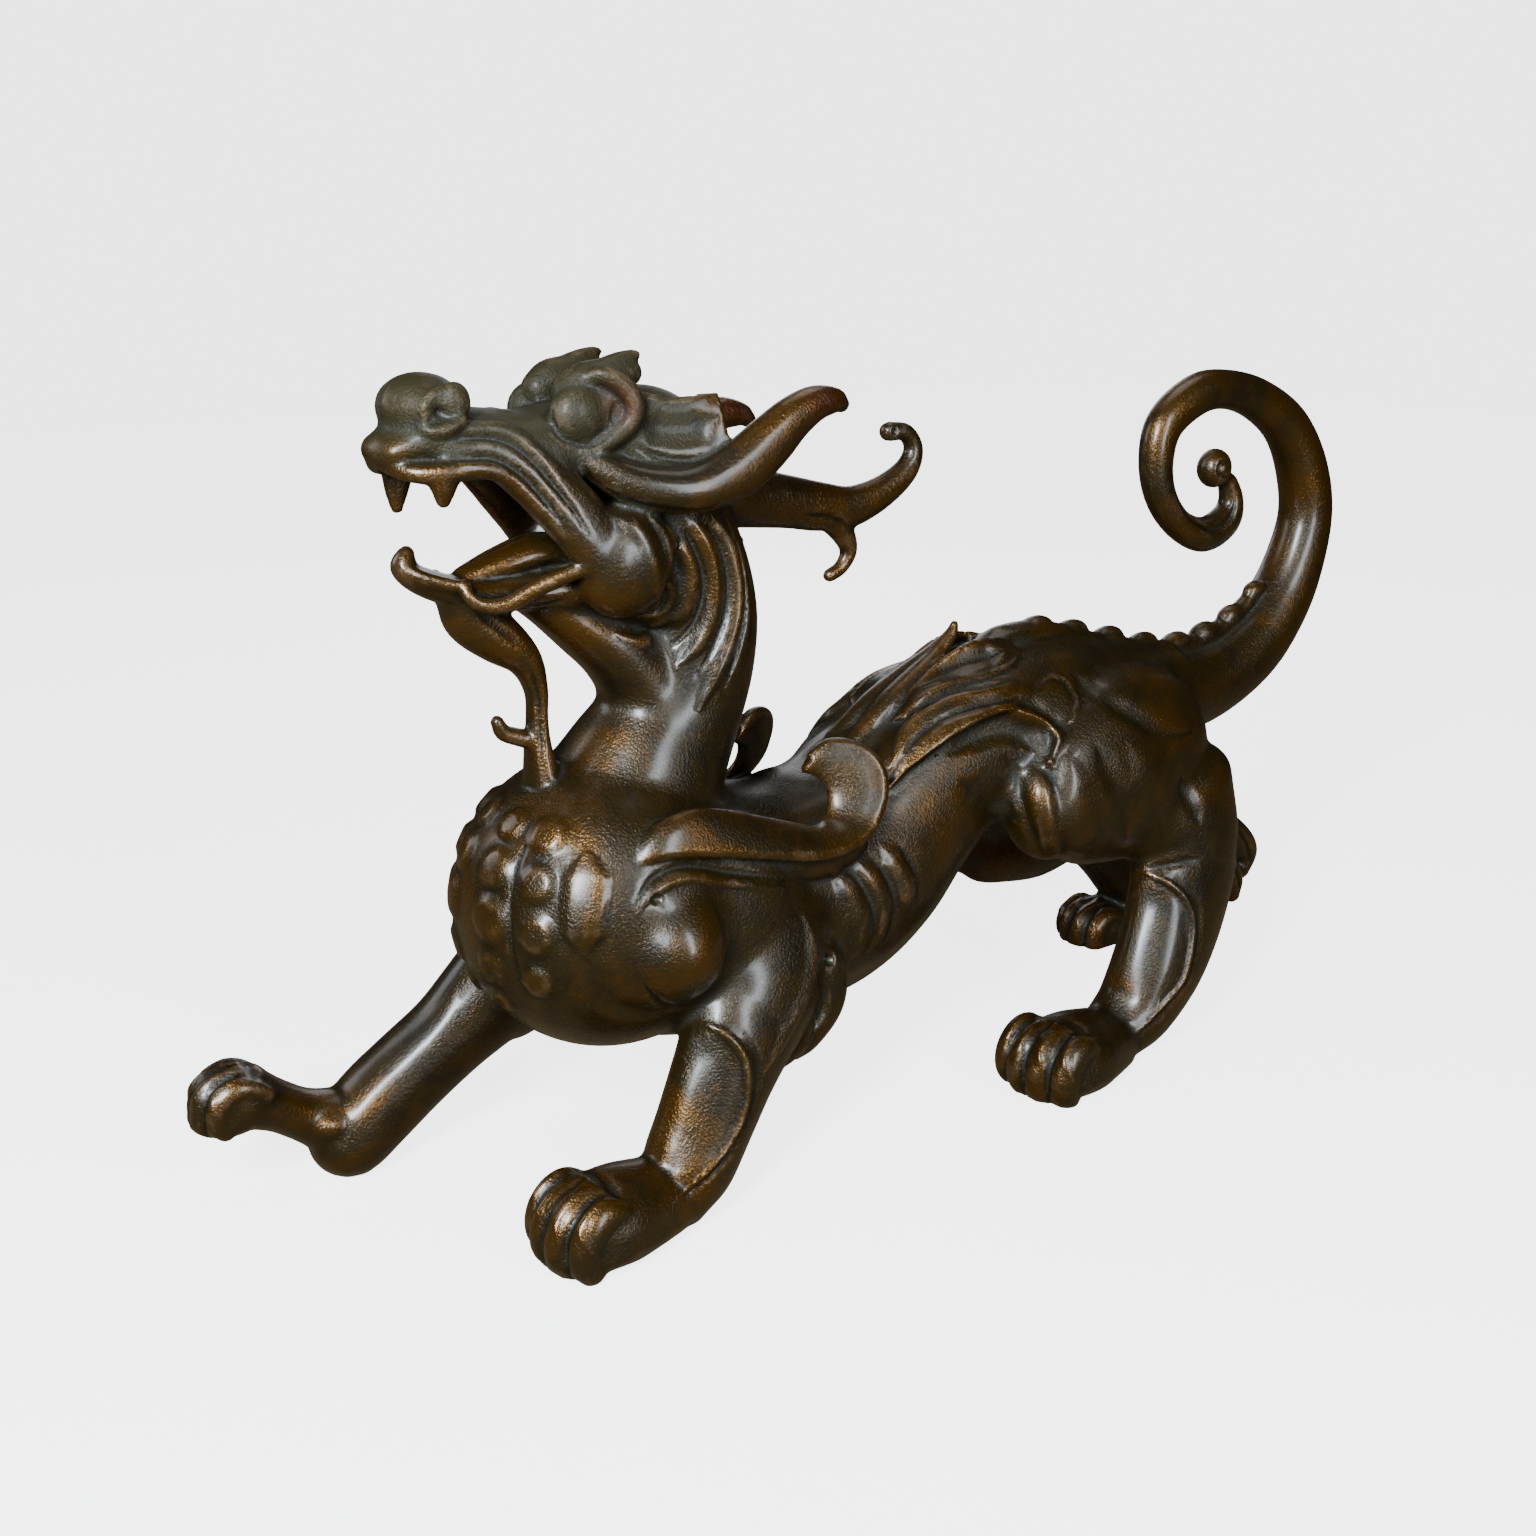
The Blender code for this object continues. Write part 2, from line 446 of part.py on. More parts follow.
def back_carving(bm, skin):
    """The flame locks of the hips, the flaps of the thighs and the scalloped ridge of the spine."""
    loft(bm, [(0, 84, 124, 4, 4), (0, 98, 128.4, 6, 4.4), (0, 112, 129, 6, 4.4), (0, 126, 126.4, 5.6, 4.2),
              (0, 141, 122.2, 5, 4), (0, 157, 118.8, 4.6, 3.8), (0, 173, 117, 4.2, 3.6),
              (0, 188, 118, 3.8, 3.4), (0, 202, 123, 3.2, 3.2), (0, 214, 131, 2.6, 2.8)])
    for y, z, radius in ((98.5, 131, 4.6), (113, 132.2, 4.8), (128, 129, 4.8), (144.5, 125.4, 4.6),
                         (161, 121.4, 4.4), (177, 119.6, 4.2), (191, 121.6, 4), (204, 126.6, 3.6),
                         (215, 134, 3)):
        ball(bm, (0, y, z), (radius * 0.95, radius * 1.55, radius), pitch=-10, detail=2)
    ribbons = (
        ([(21, 39, 101), (22, 49, 107.5), (22.5, 60, 113.2), (23, 70, 116.4), (24.5, 79, 117.2),
          (27, 86.5, 116), (28.6, 93.5, 111), (29, 97, 105), (28.6, 96.5, 100.5)],
         [(17, 44, 106), (17, 55, 115), (17.5, 66, 118), (18.5, 78, 119.6), (20.5, 87, 120),
          (23, 94, 118), (25, 99, 113), (26, 100.5, 107), (27, 99, 102)]),
        ([(16.5, 49, 109.5), (16.5, 56, 115), (16.5, 64, 118.6), (17, 72, 120.4), (17.5, 80, 120.8),
          (18, 86, 120.4)],
         [(13, 51, 115), (13, 59, 120.4), (13.5, 68, 122.6), (14, 77, 123.8), (14.5, 85, 124.2),
          (15.5, 90, 124)]),
        ([(12, 51, 116), (12, 59, 121.5), (12, 68, 124), (12, 78, 125), (12.5, 86, 126), (12.5, 92, 128.5)],
         [(7, 51, 112), (6.5, 58, 120), (6, 66, 126), (5.5, 74, 130.5), (6.5, 82, 133.2), (9.5, 89, 133)]),
    )
    for low, high in ribbons:
        both_sides(bm, strap, low, high, 3.6)
    both_sides(bm, loft, [(4, 40, 108, 3.5, 3), (3, 52, 117.5, 4, 3.2), (2, 64, 124.5, 3.6, 3.2),
                          (1, 73, 130, 2.6, 2.6), (0, 79, 135, 1.6, 1.8), (0, 80.5, 138.6, 1.1, 1.2)])
    both_sides(bm, ball, (28, 95.5, 100.5), (2.6, 3, 2.6), detail=2)
    for sign in (1, -1):
        skin.boss(bm, (sign * 24, 98, 118), 7, 7, 1.6)
    for flap in ([(28, 78, 103), (31, 82, 96), (34, 86, 88), (35, 91, 79), (34, 97, 70)],
                 [(33, 91, 102), (36.5, 96, 94), (38.5, 99, 85), (38.5, 103, 77), (36, 108, 70)]):
        skin.lock(bm, flap, [2.4, 3.8, 4.2, 3.8, 2.2], 2.2)
        skin.lock(bm, [(-x, y + 8, z - 14) for x, y, z in flap], [2.4, 3.8, 4.2, 3.8, 2.2], 2.2)


def chest_carving(bm, skin):
    """Touching pads down the breast, a smooth plate beside them, and ribs on the waist."""
    pads = ((7, -70, 107, 4.4), (8.5, -75, 96, 5.4), (10.5, -78, 83.5, 6.2), (10, -78.5, 70.5, 5.4),
            (8, -75, 60, 4.2), (19, -65, 105, 5), (20.5, -69, 94, 5), (23.5, -71, 82, 5.4),
            (23, -70.5, 70, 4.6))
    for sign in (1, -1):
        for x, y, z, size in pads:
            skin.boss(bm, (sign * x, y, z), size, size, 1.5)
        skin.lock(bm, [(sign * x, y, z) for x, y, z in ((28, -60, 103), (30.5, -62, 94), (31.5, -63, 86),
                                                         (31, -63, 79))], [2, 4.5, 4.5, 2], 1.4)
        for rib in ([(30, 12, 85), (32, 18, 78), (33, 22, 70), (32, 23, 62), (30, 20, 56)],
                    [(30, 22, 85), (32, 27, 78), (33, 30, 70), (32, 29, 62), (29, 27, 57)],
                    [(29, 32, 86), (31, 36, 80), (32, 39, 73), (31, 39.5, 69), (30, 39, 66)]):
            skin.lock(bm, [(sign * x, y, z) for x, y, z in rib], [1.5, 2.8, 3.2, 2.8, 1.5], 1.4)


def leg_carving(bm, skin):
    """Raised rims around the sunk panels on the outer side of the standing legs."""
    fore = [(36, -40, 56), (42, -34, 52), (45, -28, 45), (47, -27, 36), (48, -30, 26), (48, -37, 18),
            (47, -47, 13)]
    hind = [(35, 126, 62), (40, 134, 58), (42, 142, 50), (43, 146, 38), (43, 144, 27), (44, 137, 18),
            (45, 124, 11)]
    for rim in (fore, hind):
        skin.lock(bm, rim, [1, 1.8, 2, 2, 2, 1.8, 1], 1.8)
    skin.lock(bm, [(-x + 2, y - 32, z + 4) for x, y, z in fore[:5]], [1, 1.8, 2, 1.8, 1], 1.6)


# ---------------------------------------------------------------- the casting

def cut_flat(mesh, height):
    """Slice a closed mesh at a height and close the cut with flat soles."""
    bm = bmesh.new()
    bm.from_mesh(mesh)
    everything = bm.verts[:] + bm.edges[:] + bm.faces[:]
    cut = bmesh.ops.bisect_plane(bm, geom=everything, plane_co=(0, 0, height), plane_no=(0, 0, 1),
                                 clear_inner=True, dist=1e-4)
    rim = [e for e in cut["geom_cut"] if isinstance(e, bmesh.types.BMEdge)]
    bmesh.ops.holes_fill(bm, edges=rim, sides=0)
    bmesh.ops.triangulate(bm, faces=bm.faces[:])
    bm.to_mesh(mesh)
    bm.free()


def thinned(mesh, triangles):
    """A mesh decimated to about the given number of triangles."""
    obj = bpy.data.objects.new("thin", mesh)
    bpy.context.scene.collection.objects.link(obj)
    count = sum(len(p.vertices) - 2 for p in mesh.polygons)
    decimate = obj.modifiers.new("decimate", "DECIMATE")
    decimate.ratio = triangles / count
    result = evaluated(obj)
    bpy.data.objects.remove(obj)
    return result


def bronze():
    """Brown waxed bronze."""
    material = bpy.data.materials.new("waxed_bronze")
    material.use_nodes = True
    shader = material.node_tree.nodes["Principled BSDF"]
    shader.inputs["Base Color"].default_value = BRONZE
    shader.inputs["Metallic"].default_value = 1.0
    shader.inputs["Roughness"].default_value = BRONZE_ROUGHNESS
    return material


def model():
    """The pixiu's mesh in the sculptor's frame, in millimetres."""
    body = bmesh.new()
    for make in (trunk, shoulders, haunches):
        make(body)
    body_mesh = melted(body, BODY_VOXEL, BODY_SMOOTHING)
    flesh = bmesh.new()
    flesh.from_mesh(body_mesh)
    for make in (legs, skull, tail):
        make(flesh)
    flesh_mesh = melted(flesh, FLESH_VOXEL, FLESH_SMOOTHING)
    skin = Skin(flesh_mesh)
    whole = bmesh.new()
    whole.from_mesh(flesh_mesh)
    for make in (ears, horn, beard, face_carving, wings, tufts):
        make(whole)
    for carve in (mane, back_carving, chest_carving, leg_carving):
        carve(whole, skin)
    mesh = melted(whole, DETAIL_VOXEL, DETAIL_SMOOTHING)
    mesh = thinned(mesh, TARGET_TRIANGLES)
    cut_flat(mesh, FLOOR)
    return mesh


def main():
    """Clear the scene and leave the casting in it."""
    for obj in list(bpy.data.objects):
        bpy.data.objects.remove(obj, do_unlink=True)
    mesh = model()
    mesh.transform(Matrix.Scale(MM, 4))
    corners = np.array([v.co[:] for v in mesh.vertices])
    low, high = corners.min(axis=0), corners.max(axis=0)
    mesh.transform(Matrix.Translation((-(low[0] + high[0]) / 2, -(low[1] + high[1]) / 2, -low[2])))
    mesh.name = "pixiu_casting"
    mesh.materials.append(bronze())
    casting = bpy.data.objects.new("pixiu_casting", mesh)
    bpy.context.scene.collection.objects.link(casting)


if __name__ == "__main__":
    main()
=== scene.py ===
"""Looks of the striding pixiu: one hollow bronze casting with carved relief and a waxed brown patina.

The animal is modelled the way a founder's model is: lumps of wax are pressed together into a skin, thinner
forms are laid on, and the relief is then drawn with modelling strokes.  Sizes are in millimetres in the
sculptor's frame, which faces -Y with the left side towards +X and the floor at Z = 0; X = 0 is the plane
through the spine.  The finished skin is fitted to the box of the CAD casting that it stands for.
"""

import logging
import math
from dataclasses import dataclass
from enum import Enum
from typing import ClassVar, Iterable, Sequence

import bpy
import numpy as np
from mathutils import Matrix, Vector
from mathutils.kdtree import KDTree


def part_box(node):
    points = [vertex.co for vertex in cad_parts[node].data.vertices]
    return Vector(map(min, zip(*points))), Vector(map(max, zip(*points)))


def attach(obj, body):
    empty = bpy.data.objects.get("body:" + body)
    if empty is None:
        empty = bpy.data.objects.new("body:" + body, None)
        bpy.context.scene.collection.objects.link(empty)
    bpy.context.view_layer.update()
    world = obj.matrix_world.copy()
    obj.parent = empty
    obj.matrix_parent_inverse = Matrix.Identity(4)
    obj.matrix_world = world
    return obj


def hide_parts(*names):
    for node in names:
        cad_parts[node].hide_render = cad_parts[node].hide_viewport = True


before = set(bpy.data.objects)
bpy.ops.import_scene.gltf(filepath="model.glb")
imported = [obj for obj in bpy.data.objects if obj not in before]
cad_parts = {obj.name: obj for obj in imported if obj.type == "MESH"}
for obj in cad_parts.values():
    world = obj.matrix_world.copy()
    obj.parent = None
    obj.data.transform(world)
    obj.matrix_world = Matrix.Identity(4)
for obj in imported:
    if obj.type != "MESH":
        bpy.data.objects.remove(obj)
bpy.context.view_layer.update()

NODE = "pixiu_casting"
BODY = "root"

Point = tuple[float, float, float]
Pair = tuple[float, float]
Rows = tuple[tuple[float, ...], ...]
Lines = tuple[tuple[Rows, float, float], ...]            # strokes, as path, width and height
Lump = tuple[Point, Point] | tuple[Point, Point, float]  # a ball, as centre, half sizes and any pitch
Colour = tuple[float, float, float]
Socket = bpy.types.NodeSocket

logging.basicConfig(level=logging.INFO, format="%(message)s")
LOG = logging.getLogger("pixiu")


# ------------------------------------------------------------------ curves and lumps

def flowing(stations: Sequence[Sequence[float]], steps: int) -> np.ndarray:
    """Read rows from a Catmull-Rom curve through stations.

    Args:
        stations: the rows that the curve passes through.
        steps: how many rows each span gives.

    Returns:
        The rows, one more than steps times the number of spans.
    """
    rows = np.array(stations, dtype=float)
    ends = np.vstack([2 * rows[0] - rows[1], rows, 2 * rows[-1] - rows[-2]])
    out = []
    for i in range(1, len(ends) - 2):
        before, here, there, after = ends[i - 1:i + 3]
        for t in np.linspace(0.0, 1.0, steps, endpoint=False):
            out.append(0.5 * (2 * here + (there - before) * t
                              + (2 * before - 5 * here + 4 * there - after) * t ** 2
                              + (3 * here - before - 3 * there + after) * t ** 3))
    out.append(rows[-1])
    return np.array(out)


def read(items: bpy.types.bpy_prop_collection, name: str, width: int = 1, kind: type = float) -> np.ndarray:
    """Read one property of all of a mesh's items, as rows of a given width."""
    values = np.empty(len(items) * width, dtype=np.float32 if kind is float else np.int32)
    items.foreach_get(name, values)
    return values.reshape(-1, width).astype(kind)


def write(mesh: bpy.types.Mesh, points: np.ndarray) -> None:
    """Write a mesh's points."""
    mesh.vertices.foreach_set("co", points.ravel().astype(np.float32))
    mesh.update()


def tree_of(points: np.ndarray) -> KDTree:
    """Sort points into a tree that finds the nearest one."""
    tree = KDTree(len(points))
    for i, point in enumerate(points):
        tree.insert(point, i)
    tree.balance()
    return tree


def deselect_all() -> None:
    """Leave no object selected, so that operators act only on what is added next."""
    if bpy.context.object and bpy.context.object.mode != "OBJECT":
        bpy.ops.object.mode_set(mode="OBJECT")
    bpy.ops.object.select_all(action="DESELECT")


def select_only(obj: bpy.types.Object) -> None:
    """Select one object and make it the active one."""
    deselect_all()
    obj.select_set(True)
    bpy.context.view_layer.objects.active = obj


def apply_modifier(obj: bpy.types.Object, kind: str, **settings: float | int | str) -> None:
    """Give the active object a modifier with its settings, and apply it."""
    modifier = obj.modifiers.new(kind.lower(), kind)
    for name, value in settings.items():
        setattr(modifier, name, value)
    bpy.ops.object.modifier_apply(modifier=modifier.name)


class Wax:
    """Closed lumps of wax, gathered until they are melted into one skin."""

    BALL_SUBDIVISIONS = 4
    SIDES = 24                      # points around a tube
    SPAN_STEPS = 7                  # rings from one station of a tube to the next
    LEAST_RADIUS = 0.2
    DOME_ANGLES = (25, 50, 70, 84)  # degrees up the dome of each ring that closes a tube
    FLOW = 0.5                      # how far a melted point moves towards its neighbours in one round
    _ball: tuple[np.ndarray, np.ndarray] | None = None

    def __init__(self) -> None:
        """Start with no wax."""
        self.points: list[np.ndarray] = []
        self.faces: list[list[int]] = []
        self.count = 0

    def add(self, points: np.ndarray, faces: Iterable[Sequence[int]], mirrored: bool = False) -> None:
        """Add a closed form, and its mirror image across the spine if asked.

        Args:
            points: its points.
            faces: its faces, pointing out.
            mirrored: whether the other side gets one too.
        """
        faces = [list(face) for face in faces]
        sides = [(points, 1)]
        if mirrored:
            sides.append((points * (-1.0, 1.0, 1.0), -1))
        for form, way in sides:
            self.faces += [[self.count + i for i in face[::way]] for face in faces]
            self.points.append(form)
            self.count += len(form)

    def ball(self, centre: Point, radii: Point, pitch: float = 0.0, mirrored: bool = False) -> None:
        """Add an ellipsoid.

        Args:
            centre: its centre.
            radii: its half sizes.
            pitch: degrees that it is turned about X, nose up.
            mirrored: whether the other side gets one too.
        """
        if Wax._ball is None:
            Wax._ball = self._unit_ball()
        points, faces = Wax._ball
        turn = np.array(Matrix.Rotation(math.radians(-pitch), 3, "X"))
        self.add((points * radii) @ turn.T + centre, faces, mirrored)

    def _unit_ball(self) -> tuple[np.ndarray, np.ndarray]:
        """Model one unit ball and keep its points and triangles, which every other ball copies."""
        deselect_all()
        bpy.ops.mesh.primitive_ico_sphere_add(subdivisions=self.BALL_SUBDIVISIONS, radius=1.0)
        ball = bpy.context.active_object
        mesh = ball.data
        points = np.array([v.co[:] for v in mesh.vertices])
        faces = np.array([p.vertices[:] for p in mesh.polygons])
        bpy.data.objects.remove(ball)
        bpy.data.meshes.remove(mesh)
        return points, faces

    def loft(self, *tubes: Rows, mirrored: bool = False) -> None:
        """Add tubes with oval sections and domed ends.

        Args:
            tubes: each one's stations, as x, y, z, half width and half depth.
            mirrored: whether the other side gets them too.
        """
        for stations in tubes:
            rows = flowing(stations, self.SPAN_STEPS)
            rows[:, 3:] = np.maximum(rows[:, 3:], self.LEAST_RADIUS)
            tangents = np.gradient(rows[:, :3], axis=0)
            tangents /= np.linalg.norm(tangents, axis=1)[:, None]
            rows, tangents = self._domed(rows, tangents)
            across = np.array((1.0, 0.0, 0.0)) - tangents[:, :1] * tangents
            across /= np.linalg.norm(across, axis=1)[:, None]
            depth = np.cross(tangents, across)
            self._tube(rows[:, :3], across * rows[:, 3:4], depth * rows[:, 4:5], mirrored)

    def cord(self, *paths: Rows) -> None:
        """Add round cords on both sides, given as rows of x, y, z and radius."""
        self.loft(*(tuple((*row, row[3]) for row in path) for path in paths), mirrored=True)

    def strap(self, low: Rows, high: Rows, thickness: float) -> None:
        """Add a curved sheet between two edges on both sides, with rounded rims.

        Args:
            low: points along one edge.
            high: points along the other.
            thickness: how thick the sheet is.
        """
        rows = flowing([(*a, *b) for a, b in zip(low, high)], self.SPAN_STEPS)
        centres = (rows[:, :3] + rows[:, 3:]) / 2
        breadth = (rows[:, 3:] - rows[:, :3]) / 2
        reach = np.linalg.norm(breadth, axis=1)[:, None]
        up = np.cross(np.gradient(centres, axis=0), breadth)
        up /= np.linalg.norm(up, axis=1)[:, None]
        self._tube(centres, breadth / reach * (reach + thickness / 2), up * thickness / 2, True)

    def _domed(self, rows: np.ndarray, tangents: np.ndarray) -> tuple[np.ndarray, np.ndarray]:
        """Add shrinking sections beyond both ends of a tube, so that it closes in a dome."""
        caps = []
        for row, tangent, sign in ((rows[0], tangents[0], -1), (rows[-1], tangents[-1], 1)):
            cap = []
            for angle in self.DOME_ANGLES:
                ring = row.copy()
                ring[:3] += sign * tangent * min(row[3], row[4]) * math.sin(math.radians(angle))
                ring[3:] *= math.cos(math.radians(angle))
                cap.append(ring)
            caps.append(np.array(cap))
        count = len(self.DOME_ANGLES)
        return (np.vstack([caps[0][::-1], rows, caps[1]]),
                np.vstack([[tangents[0]] * count, tangents, [tangents[-1]] * count]))

    def _tube(self, centres: np.ndarray, across: np.ndarray, depth: np.ndarray, mirrored: bool) -> None:
        """Skin a row of oval rings, given their centres and half axes, and close both ends."""
        n = self.SIDES
        angle = np.arange(n) * 2 * math.pi / n
        rings = (centres[:, None] + across[:, None] * np.cos(angle)[None, :, None]
                 + depth[:, None] * np.sin(angle)[None, :, None])
        faces = [[j * n + k, j * n + (k + 1) % n, (j + 1) * n + (k + 1) % n, (j + 1) * n + k]
                 for j in range(len(centres) - 1) for k in range(n)]
        faces.append(list(range(n))[::-1])
        faces.append([(len(centres) - 1) * n + k for k in range(n)])
        self.add(rings.reshape(-1, 3), faces, mirrored)

    def melted(self, voxel: float, rounds: int, name: str) -> bpy.types.Object:
        """Melt the lumps into one closed skin.

        Args:
            voxel: how fine the skin is.
            rounds: how long it flows, which turns seams into fillets.
            name: what the object is called.

        Returns:
            The skin.
        """
        mesh = bpy.data.meshes.new(name)
        mesh.from_pydata(np.vstack(self.points).tolist(), [], self.faces)
        skin = bpy.data.objects.new(name, mesh)
        bpy.context.scene.collection.objects.link(skin)
        select_only(skin)
        apply_modifier(skin, "REMESH", mode="VOXEL", voxel_size=voxel)
        apply_modifier(skin, "SMOOTH", factor=self.FLOW, iterations=rounds)
        return skin

    def press(self, skin: bpy.types.Object) -> None:
        """Take a finished skin in as a lump, and remove its object."""
        mesh = skin.data
        corners = read(mesh.loops, "vertex_index", kind=int).ravel()
        starts = read(mesh.polygons, "loop_start", kind=int).ravel()
        self.add(read(mesh.vertices, "co", 3), np.split(corners, starts[1:]))
        bpy.data.objects.remove(skin)
        bpy.data.meshes.remove(mesh)


# ------------------------------------------------------------------ modelling strokes

class Profile(Enum):
    """The section that a modelling stroke leaves, as the share of its half width that its shoulder takes."""

    ROUND = 1.0
    PAD = 0.55

    def height(self, distance: np.ndarray) -> np.ndarray:
        """Height from 0 to 1 at a distance from the stroke's line, where 1 is its edge."""
        inside = np.clip(np.clip(1.0 - distance, 0.0, 1.0) / self.value, 0.0, 1.0)
        return inside * inside * (3 - 2 * inside)


@dataclass(frozen=True)
class Stroke:
    """One stroke of the modelling tool.

    It is mirrored on the other side, unless it is single or lies on the plane of the spine.
    """

    path: Rows
    width: float
    height: float
    profile: Profile = Profile.ROUND
    mirrored: bool = True
    tapered: bool = True


class Skin:
    """A dense skin that strokes are drawn on."""

    TAPER = 0.22     # share of a stroke over which each end fades
    TIP = 0.25       # share of its size that a stroke keeps at its very ends
    STEPS = 8        # spots from one point of a stroke's path to the next
    EVEN_ROUNDS = 8  # rounds that even out a line drawn from point to point
    MARGIN = 1.05    # how far out points are looked for, in stroke widths
    BLOCK = 8000     # points that are worked on at a time
    TINY = 1e-9      # the least square of a span that is divided by

    def __init__(self, obj: bpy.types.Object) -> None:
        """Read a skin's points, normals and edges."""
        self.mesh = obj.data
        self.points = read(self.mesh.vertices, "co", 3)
        self.normals = read(self.mesh.vertex_normals, "vector", 3)
        self.edges = read(self.mesh.edges, "vertices", 2, int)
        self.degree = np.bincount(self.edges.ravel(), minlength=len(self.points))[:, None]
        self.tree = tree_of(self.points)

    def spread(self, values: np.ndarray, rounds: int) -> np.ndarray:
        """Average values with their neighbours' over a number of rounds."""
        a, b = self.edges.T
        for _ in range(rounds):
            total = np.stack([np.bincount(a, column[b], len(values)) + np.bincount(b, column[a], len(values))
                              for column in values.T], axis=1)
            values = 0.5 * values + 0.5 * total / self.degree
        return values

    def draw(self, stroke: Stroke) -> None:
        """Draw one stroke on the sides of the animal that it is meant for."""
        both = stroke.mirrored and any(spot[0] for spot in stroke.path)
        for sign in ((1, -1) if both else (1,)):
            self._draw(stroke, sign)

    def _draw(self, stroke: Stroke, sign: int) -> None:
        """Raise or cut the skin along one stroke on one side."""
        path = flowing(stroke.path, self.STEPS) if len(stroke.path) > 1 else np.array(stroke.path, float)
        nearest = [self.tree.find(point)[1] for point in path * (sign, 1, 1)]
        line = self.points[nearest]
        up = self.normals[nearest]
        if len(line) > 1:
            for _ in range(self.EVEN_ROUNDS):
                line[1:-1] = (line[:-2] + 2 * line[1:-1] + line[2:]) / 4
        reach = stroke.width * self.MARGIN
        low, high = line.min(axis=0) - reach, line.max(axis=0) + reach
        inside = np.nonzero(np.all((self.points > low) & (self.points < high), axis=1))[0]
        for near in np.array_split(inside, len(inside) // self.BLOCK + 1):
            if len(near):
                self._raise(stroke, line, up, near)

    def _raise(self, stroke: Stroke, line: np.ndarray, up: np.ndarray, near: np.ndarray) -> None:
        """Raise or cut one block of points by their distance from a stroke's line."""
        spots, fade = self.points[near], 1.0
        if len(line) == 1:
            distance, which = np.linalg.norm(spots - line[0], axis=1), np.zeros(len(near), dtype=int)
        else:
            span = np.diff(line, axis=0)
            gap = spots[:, None] - line[None, :-1]
            length2 = np.maximum((span ** 2).sum(axis=1), self.TINY)
            t = np.clip((gap * span[None]).sum(axis=2) / length2, 0.0, 1.0)
            far = np.linalg.norm(gap - t[..., None] * span[None], axis=2)
            which, row = far.argmin(axis=1), np.arange(len(near))
            distance = far[row, which]
            if stroke.tapered:
                share = (which + t[row, which]) / len(span)
                share = np.clip(np.minimum(share, 1 - share) / self.TAPER, 0.0, 1.0)
                fade = self.TIP + (1 - self.TIP) * share
        facing = (self.normals[near] * up[which]).sum(axis=1) > 0.0
        lift = stroke.height * fade * stroke.profile.height(distance / (stroke.width * fade)) * facing
        self.points[near] += up[which] * lift[:, None] * 0.5 + self.normals[near] * lift[:, None] * 0.5

    def refresh(self) -> None:
        """Write the points back and read the new normals."""
        write(self.mesh, self.points)
        self.normals = read(self.mesh.vertex_normals, "vector", 3)


# ------------------------------------------------------------------ the animal's forms

class Form:
    """One form of the animal: the wax that it adds at each stage, and the strokes drawn on it."""

    lines: ClassVar[Lines] = ()         # strokes for both sides, or for the plane of the spine
    single_lines: ClassVar[Lines] = ()  # strokes for one side

    def body(self, wax: Wax) -> None:
        """Press on the large masses, which flow together most."""

    def flesh(self, wax: Wax) -> None:
        """Press on the head, limbs and tail."""

    def detail(self, wax: Wax) -> None:
        """Press on the thin forms and the high relief."""

    def strokes(self) -> list[Stroke]:
        """Give the strokes that finish the form."""
        return [Stroke(*line) for line in self.lines] + singles(self.single_lines)


def singles(lines: Lines) -> list[Stroke]:
    """Give strokes that are drawn on one side only."""
    return [Stroke(*line, mirrored=False) for line in lines]


def moved(rows: Rows, shift: Point, mirrored: bool = False) -> Rows:
    """Move rows that start with a place, after mirroring them across the spine if asked."""
    sign = -1 if mirrored else 1
    return tuple((sign * x + shift[0], y + shift[1], z + shift[2], *rest) for x, y, z, *rest in rows)


